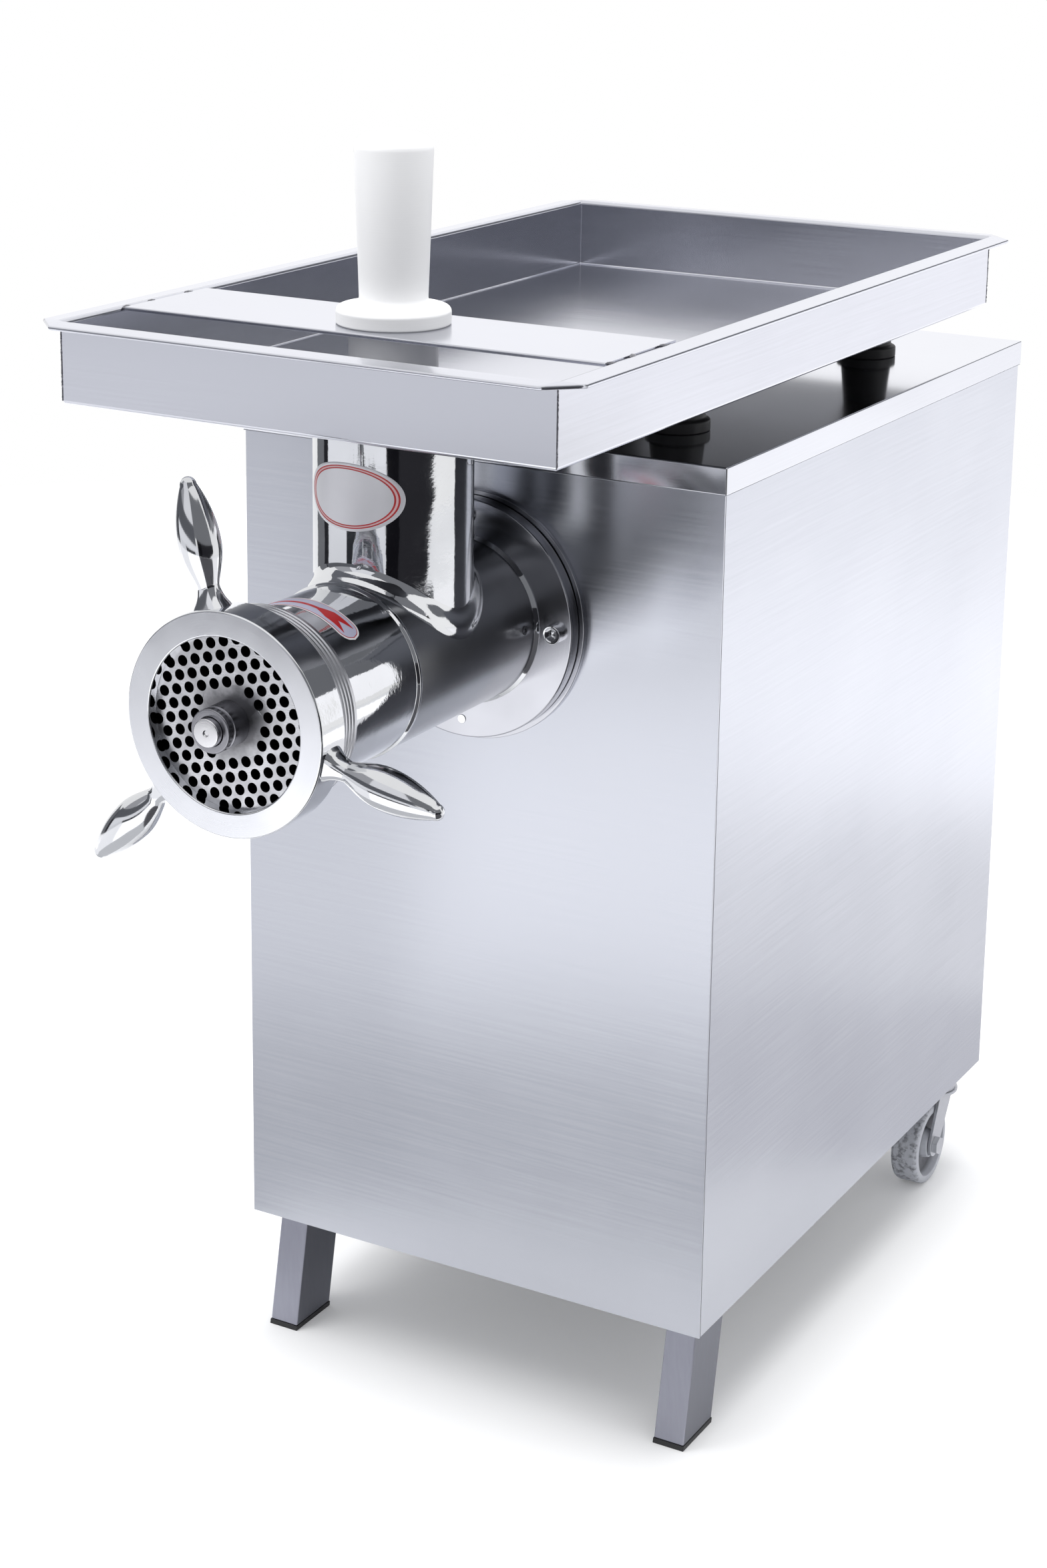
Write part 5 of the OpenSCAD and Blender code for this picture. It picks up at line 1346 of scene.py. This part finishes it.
# printed films
ovalSize = {
    "halfWidth": 0.0435, "halfHeight": 0.0245, "turn": -2.2, "height": 0.781,
    "lift": 0.00035, "rimFall": 0.00025,
}
ovalRings = steps(0, 0.78, 13) + [0.815, 0.848, 0.885, 0.918, 0.95, 0.985, 1.0]
ovalInks = {14: 1, 15: 2, 16: 1}      # red, rose and red rings; silver elsewhere


def buildOval():
    size = ovalSize
    r, middleY = halfWidth("feed_tube") + size["lift"], middleOf("feed_tube").y
    bm = bmesh.new()
    loops = []
    for k, share in enumerate(ovalRings):
        reach = r - size["rimFall"] if k == len(ovalRings) - 1 else r
        loop = []
        for j in range(96 if share else 1):
            a = tau * j / 96
            around = size["halfWidth"] * share * cos(a) / r + radians(size["turn"])
            loop.append(bm.verts.new((reach * sin(around), middleY - reach * cos(around),
                                      size["height"] + size["halfHeight"] * share * sin(a))))
        loops.append(loop)
    for k, (first, second) in enumerate(zip(loops, loops[1:])):
        count = len(bm.faces)
        bridgeLoops(bm, first, second)
        bm.faces.ensure_lookup_table()
        for face in bm.faces[count:]:
            face.material_index = ovalInks.get(k, 0)
    seat(pieceFrom(bm, "ovalPlate", [filmSilver, filmRed, filmRose], 60), "feed_tube", hide=False)


stripSize = {"place": -0.3745, "half": 0.0110, "from": -48.0, "to": 46.0, "lift": 0.0002}
stripInks = ((0, 0, 0), (0.0014, 0.00006, 1), (0.0020, 0.00012, 2))      # margin, rise, film
arrowSize = {
    "tip": -41, "neck": -30, "fork": 14, "notchFrom": 30, "end": 39, "opens": 9,      # degrees
    "headHalf": 0.0056, "shaftHalf": 0.0017, "barbOut": 0.0042, "notch": 0.0054, "rise": 0.00018,
}


def ribbon(bm, r, place, span, edges, index):
    # a strip of the barrel's surface between two edge lines, both given per angle
    columns = []
    for angle in span:
        low, high = edges(angle)
        a = radians(angle)
        columns.append([bm.verts.new((r * sin(a), place + v, headAxisZ + r * cos(a)))
                        for v in (low, (low + high) / 2, high)])
    for first, second in zip(columns, columns[1:]):
        for k in range(2):
            corners = list(dict.fromkeys([first[k], second[k], second[k + 1], first[k + 1]]))
            face = bm.faces.new(corners)
            face.material_index = index


def buildArrow():
    size, arrow = stripSize, arrowSize
    r, half, place = sleeveR + size["lift"], size["half"], size["place"]
    perDegree = radians(1) * r

    def stadium(margin):
        def edges(angle):
            near = min(angle - size["from"], size["to"] - angle) * perDegree - margin
            full = half - margin
            width = full if near >= full else sqrt(max(full ** 2 - (full - max(near, 0)) ** 2, 0))
            return -width, width
        inset = margin / perDegree
        return steps(size["from"] + inset, size["to"] - inset, 72), edges

    def head(angle):
        width = arrow["headHalf"] * (angle - arrow["tip"]) / (arrow["neck"] - arrow["tip"])
        return -width, width

    def shaft(angle):
        return -arrow["shaftHalf"], arrow["shaftHalf"]

    def barb(angle, way):
        spread = min((angle - arrow["fork"]) / arrow["opens"], 1)
        outer = arrow["shaftHalf"] + arrow["barbOut"] * spread
        inner = arrow["notch"] * max((angle - arrow["notchFrom"]) / arrow["opens"], 0)
        return sorted((way * outer, way * inner))

    bm = bmesh.new()
    for margin, rise, index in stripInks:
        span, edges = stadium(margin)
        ribbon(bm, r + rise, place, span, edges, index)
    top = r + arrow["rise"]
    for start, end, count, edges in ((arrow["tip"], arrow["neck"], 8, head),
                                     (arrow["neck"], arrow["fork"], 32, shaft),
                                     (arrow["fork"], arrow["end"], 24, lambda a: barb(a, -1)),
                                     (arrow["fork"], arrow["end"], 24, lambda a: barb(a, 1))):
        ribbon(bm, top, place, steps(start, end, count), edges, 1)
    bmesh.ops.recalc_face_normals(bm, faces=bm.faces)
    for face in bm.faces:
        middle = face.calc_center_median() - Vector((0, place, headAxisZ))
        if face.normal.dot(Vector((middle.x, 0, middle.z))) < 0:
            face.normal_flip()
    mesh = bpy.data.meshes.new("arrowStrip")
    bm.to_mesh(mesh)
    bm.free()
    for film in (filmWhite, filmRed, filmLilac):
        mesh.materials.append(film)
    piece = bpy.data.objects.new("arrowStrip", mesh)
    scene.collection.objects.link(piece)
    seat(piece, "head_barrel", hide=False)


buildOval()
buildArrow()
print("films laid")

# studio
studio = {
    "floorR": 3.2,
    "glow": 0.62,           # share of plain white that the camera sees in the floor
    "underGlow": 0.09,      # and beneath the machine
    "glowReach": 0.13,      # this far from the machine's footprint
    "paper": (0.96, 0.96, 0.965, 1),
    "shine": 1.5,
    "roomTint": (0.97, 0.98, 1.0, 1),
    "roomLight": 0.72,
    "cardR": 2.6,
    "cardLift": 0.003,      # of a flat card above the floor
}


def buildFloor():
    bm = bmesh.new()
    bmesh.ops.create_circle(bm, cap_ends=True, radius=studio["floorR"], segments=96)
    finish, bench = newFinish("paleFloor")
    path = bench.node("ShaderNodeLightPath")
    low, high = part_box("base_plate")
    place = bench.node("ShaderNodeSeparateXYZ", None, {0: bench.spot()})
    beyond = []
    for letter, near, far in zip("XY", low, high):
        past = bench.maths("ABSOLUTE", place.also(letter) - (near + far) / 2) - (far - near) / 2
        beyond.append(bench.maths("MAXIMUM", past, 0.0))
    away = (beyond[0] * beyond[0] + beyond[1] * beyond[1]) ** 0.5
    share = bench.between(away, 0.0, studio["glowReach"])
    share = studio["underGlow"] + share * (studio["glow"] - studio["underGlow"])
    share = path.also("Is Camera Ray") * share
    paper = bench.node("ShaderNodeBsdfDiffuse", None, {"Color": studio["paper"]})
    glow = bench.node("ShaderNodeEmission", None,
                      {"Color": (1, 1, 1, 1), "Strength": studio["shine"]})
    mixed = bench.node("ShaderNodeMixShader", None, {0: share, 1: paper, 2: glow})
    bench.node("ShaderNodeOutputMaterial", None, {"Surface": mixed})
    pieceFrom(bm, "studioFloor", [finish], even=False)


def buildRoom():
    world = bpy.data.worlds.new("studioRoom")
    world.use_nodes = True
    scene.world = world
    bench = Bench(world.node_tree)
    path = bench.node("ShaderNodeLightPath")
    plain = (path.also("Is Camera Ray") + path.also("Is Glossy Ray")
             + path.also("Is Transmission Ray"))
    soft = bench.node("ShaderNodeBackground", None,
                      {"Color": studio["roomTint"], "Strength": studio["roomLight"]})
    white = bench.node("ShaderNodeBackground", None, {"Color": (1, 1, 1, 1), "Strength": 1.0})
    mixed = bench.node("ShaderNodeMixShader", None,
                       {0: bench.between(plain, 0.0, 1.0), 1: soft, 2: white})
    bench.node("ShaderNodeOutputWorld", None, {"Surface": mixed})


def mirrorCard(name, rows, tone):     # glowing strip, seen in polished metal alone
    bm = bmesh.new()
    near, far = ([bm.verts.new(place) for place in row] for row in rows)
    for k in range(len(near) - 1):
        bm.faces.new([near[k], near[k + 1], far[k + 1], far[k]])
    finish, bench = newFinish(name)
    light = bench.node("ShaderNodeEmission", None, {"Color": (*tone, 1), "Strength": 1.0})
    bench.node("ShaderNodeOutputMaterial", None, {"Surface": light})
    card = pieceFrom(bm, name, [finish], even=False)
    card.visible_camera = False
    card.visible_diffuse = False
    card.visible_shadow = False
    card.visible_transmission = False


def buildCard(name, azimuths, heights, tone, lean=0.0):
    # upright card, curved about the machine; its far side may lean by some degrees
    r, rows = studio["cardR"], []
    for z, more in zip(heights, (0.0, lean)):
        turns = [radians(a) for a in steps(azimuths[0], azimuths[1] + more, 16)]
        rows.append([(r * sin(a), -r * cos(a), z) for a in turns])
    mirrorCard(name, rows, tone)


def buildFloorCard(name, azimuths, reach, tone):  # flat card just above the floor
    turns, z = steps(radians(azimuths[0]), radians(azimuths[1]), 16), studio["cardLift"]
    mirrorCard(name, [[(r * sin(a), -r * cos(a), z) for a in turns] for r in reach], tone)


def buildLamp(name, place, aim, size, power):
    lamp = bpy.data.objects.new(name, bpy.data.lights.new(name, "AREA"))
    lamp.data.shape = "DISK"
    lamp.data.size = size
    lamp.data.energy = power
    turn = (Vector(place) - Vector(aim)).to_track_quat("Z", "Y")
    lamp.matrix_world = Matrix.Translation(place) @ turn.to_matrix().to_4x4()
    lamp.visible_glossy = False
    scene.collection.objects.link(lamp)


# maker, name, azimuths in degrees, heights (upright) or distances out (flat), colour, lean
cards = [
    (buildCard, "edgeCardRight", (20, 36), (0.01, 0.9), (0.006, 0.006, 0.008)),
    (buildCard, "leanCardRight", (36, 70), (0.01, 0.35), (0.022, 0.022, 0.026), 24),
    (buildCard, "darkCardRight", (36, 94), (0.35, 0.9), (0.022, 0.022, 0.026)),
    (buildCard, "greyCardRight", (14, 91), (0.9, 3.0), (0.20, 0.205, 0.22)),
    (buildFloorCard, "floorCardRight", (20, 84), (0.5, 2.6), (0.10, 0.10, 0.11)),
    (buildCard, "dimCardFront", (-34, 6), (0.01, 0.30), (0.025, 0.027, 0.032)),
    (buildCard, "lowCardFront", (-67, -34), (0.01, 0.24), (0.80, 0.81, 0.85)),
    (buildCard, "sideCardFront", (6, 20), (0.01, 0.24), (0.80, 0.81, 0.85)),
    (buildCard, "highCardFront", (-67, 20), (0.24, 0.62), (0.90, 0.91, 0.95)),
    (buildCard, "middleCardFront", (-75, 14), (0.62, 1.35), (0.12, 0.125, 0.14)),
    (buildCard, "topCardLeft", (-62, -28), (1.35, 3.0), (0.40, 0.405, 0.43)),
    (buildCard, "topCardMiddle", (-28, 14), (1.35, 3.0), (0.86, 0.865, 0.90)),
    (buildCard, "darkCardLeft", (-77, -67), (0.01, 1.1), (0.02, 0.02, 0.024)),
    (buildCard, "greyCardLeft", (-98, -77), (0.01, 1.1), (0.17, 0.175, 0.19)),
    (buildCard, "brightCardBack", (-185, -125), (1.0, 3.0), (1.14, 1.14, 1.16)),
    (buildCard, "darkCardBack", (112, 172), (1.2, 2.6), (0.16, 0.165, 0.18)),
    (buildCard, "lowCardBack", (146, 175), (0.01, 0.3), (1.28, 1.28, 1.31)),
    (buildCard, "middleCardBack", (135, 175), (0.3, 1.2), (1.20, 1.20, 1.23)),
    (buildFloorCard, "nearFloorFront", (-75, 20), (0.42, 0.9), (0.66, 0.67, 0.70)),
    (buildFloorCard, "middleFloorLeft", (-75, -30), (0.9, 1.6), (1.10, 1.105, 1.14)),
    (buildFloorCard, "middleFloorFront", (-30, 20), (0.9, 1.6), (1.50, 1.505, 1.54)),
    (buildFloorCard, "farFloorLeft", (-75, -30), (1.6, 2.6), (1.12, 1.125, 1.16)),
    (buildFloorCard, "farFloorFront", (-30, 20), (1.6, 2.6), (1.66, 1.665, 1.70)),
    (buildFloorCard, "farFloorBack", (125, 205), (1.5, 2.6), (1.50, 1.50, 1.53)),
    (buildFloorCard, "middleFloorBack", (125, 205), (0.9, 1.5), (0.98, 0.98, 1.01)),
    (buildFloorCard, "nearFloorBack", (75, 205), (0.5, 0.9), (0.74, 0.74, 0.78)),
    (buildFloorCard, "sideFloorRight", (84, 125), (0.9, 2.6), (1.05, 1.05, 1.07)),
]
buildFloor()
buildRoom()
for build, *card in cards:
    build(*card)
buildLamp("topLamp", (0.1, 0.15, 2.9), (0.0, 0.1, 0.0), 2.0, 70)
buildLamp("leftLamp", (-1.2, -0.9, 2.6), (0.0, 0.0, 0.4), 1.6, 30)
scene.view_settings.view_transform = "Standard"
print("studio built")
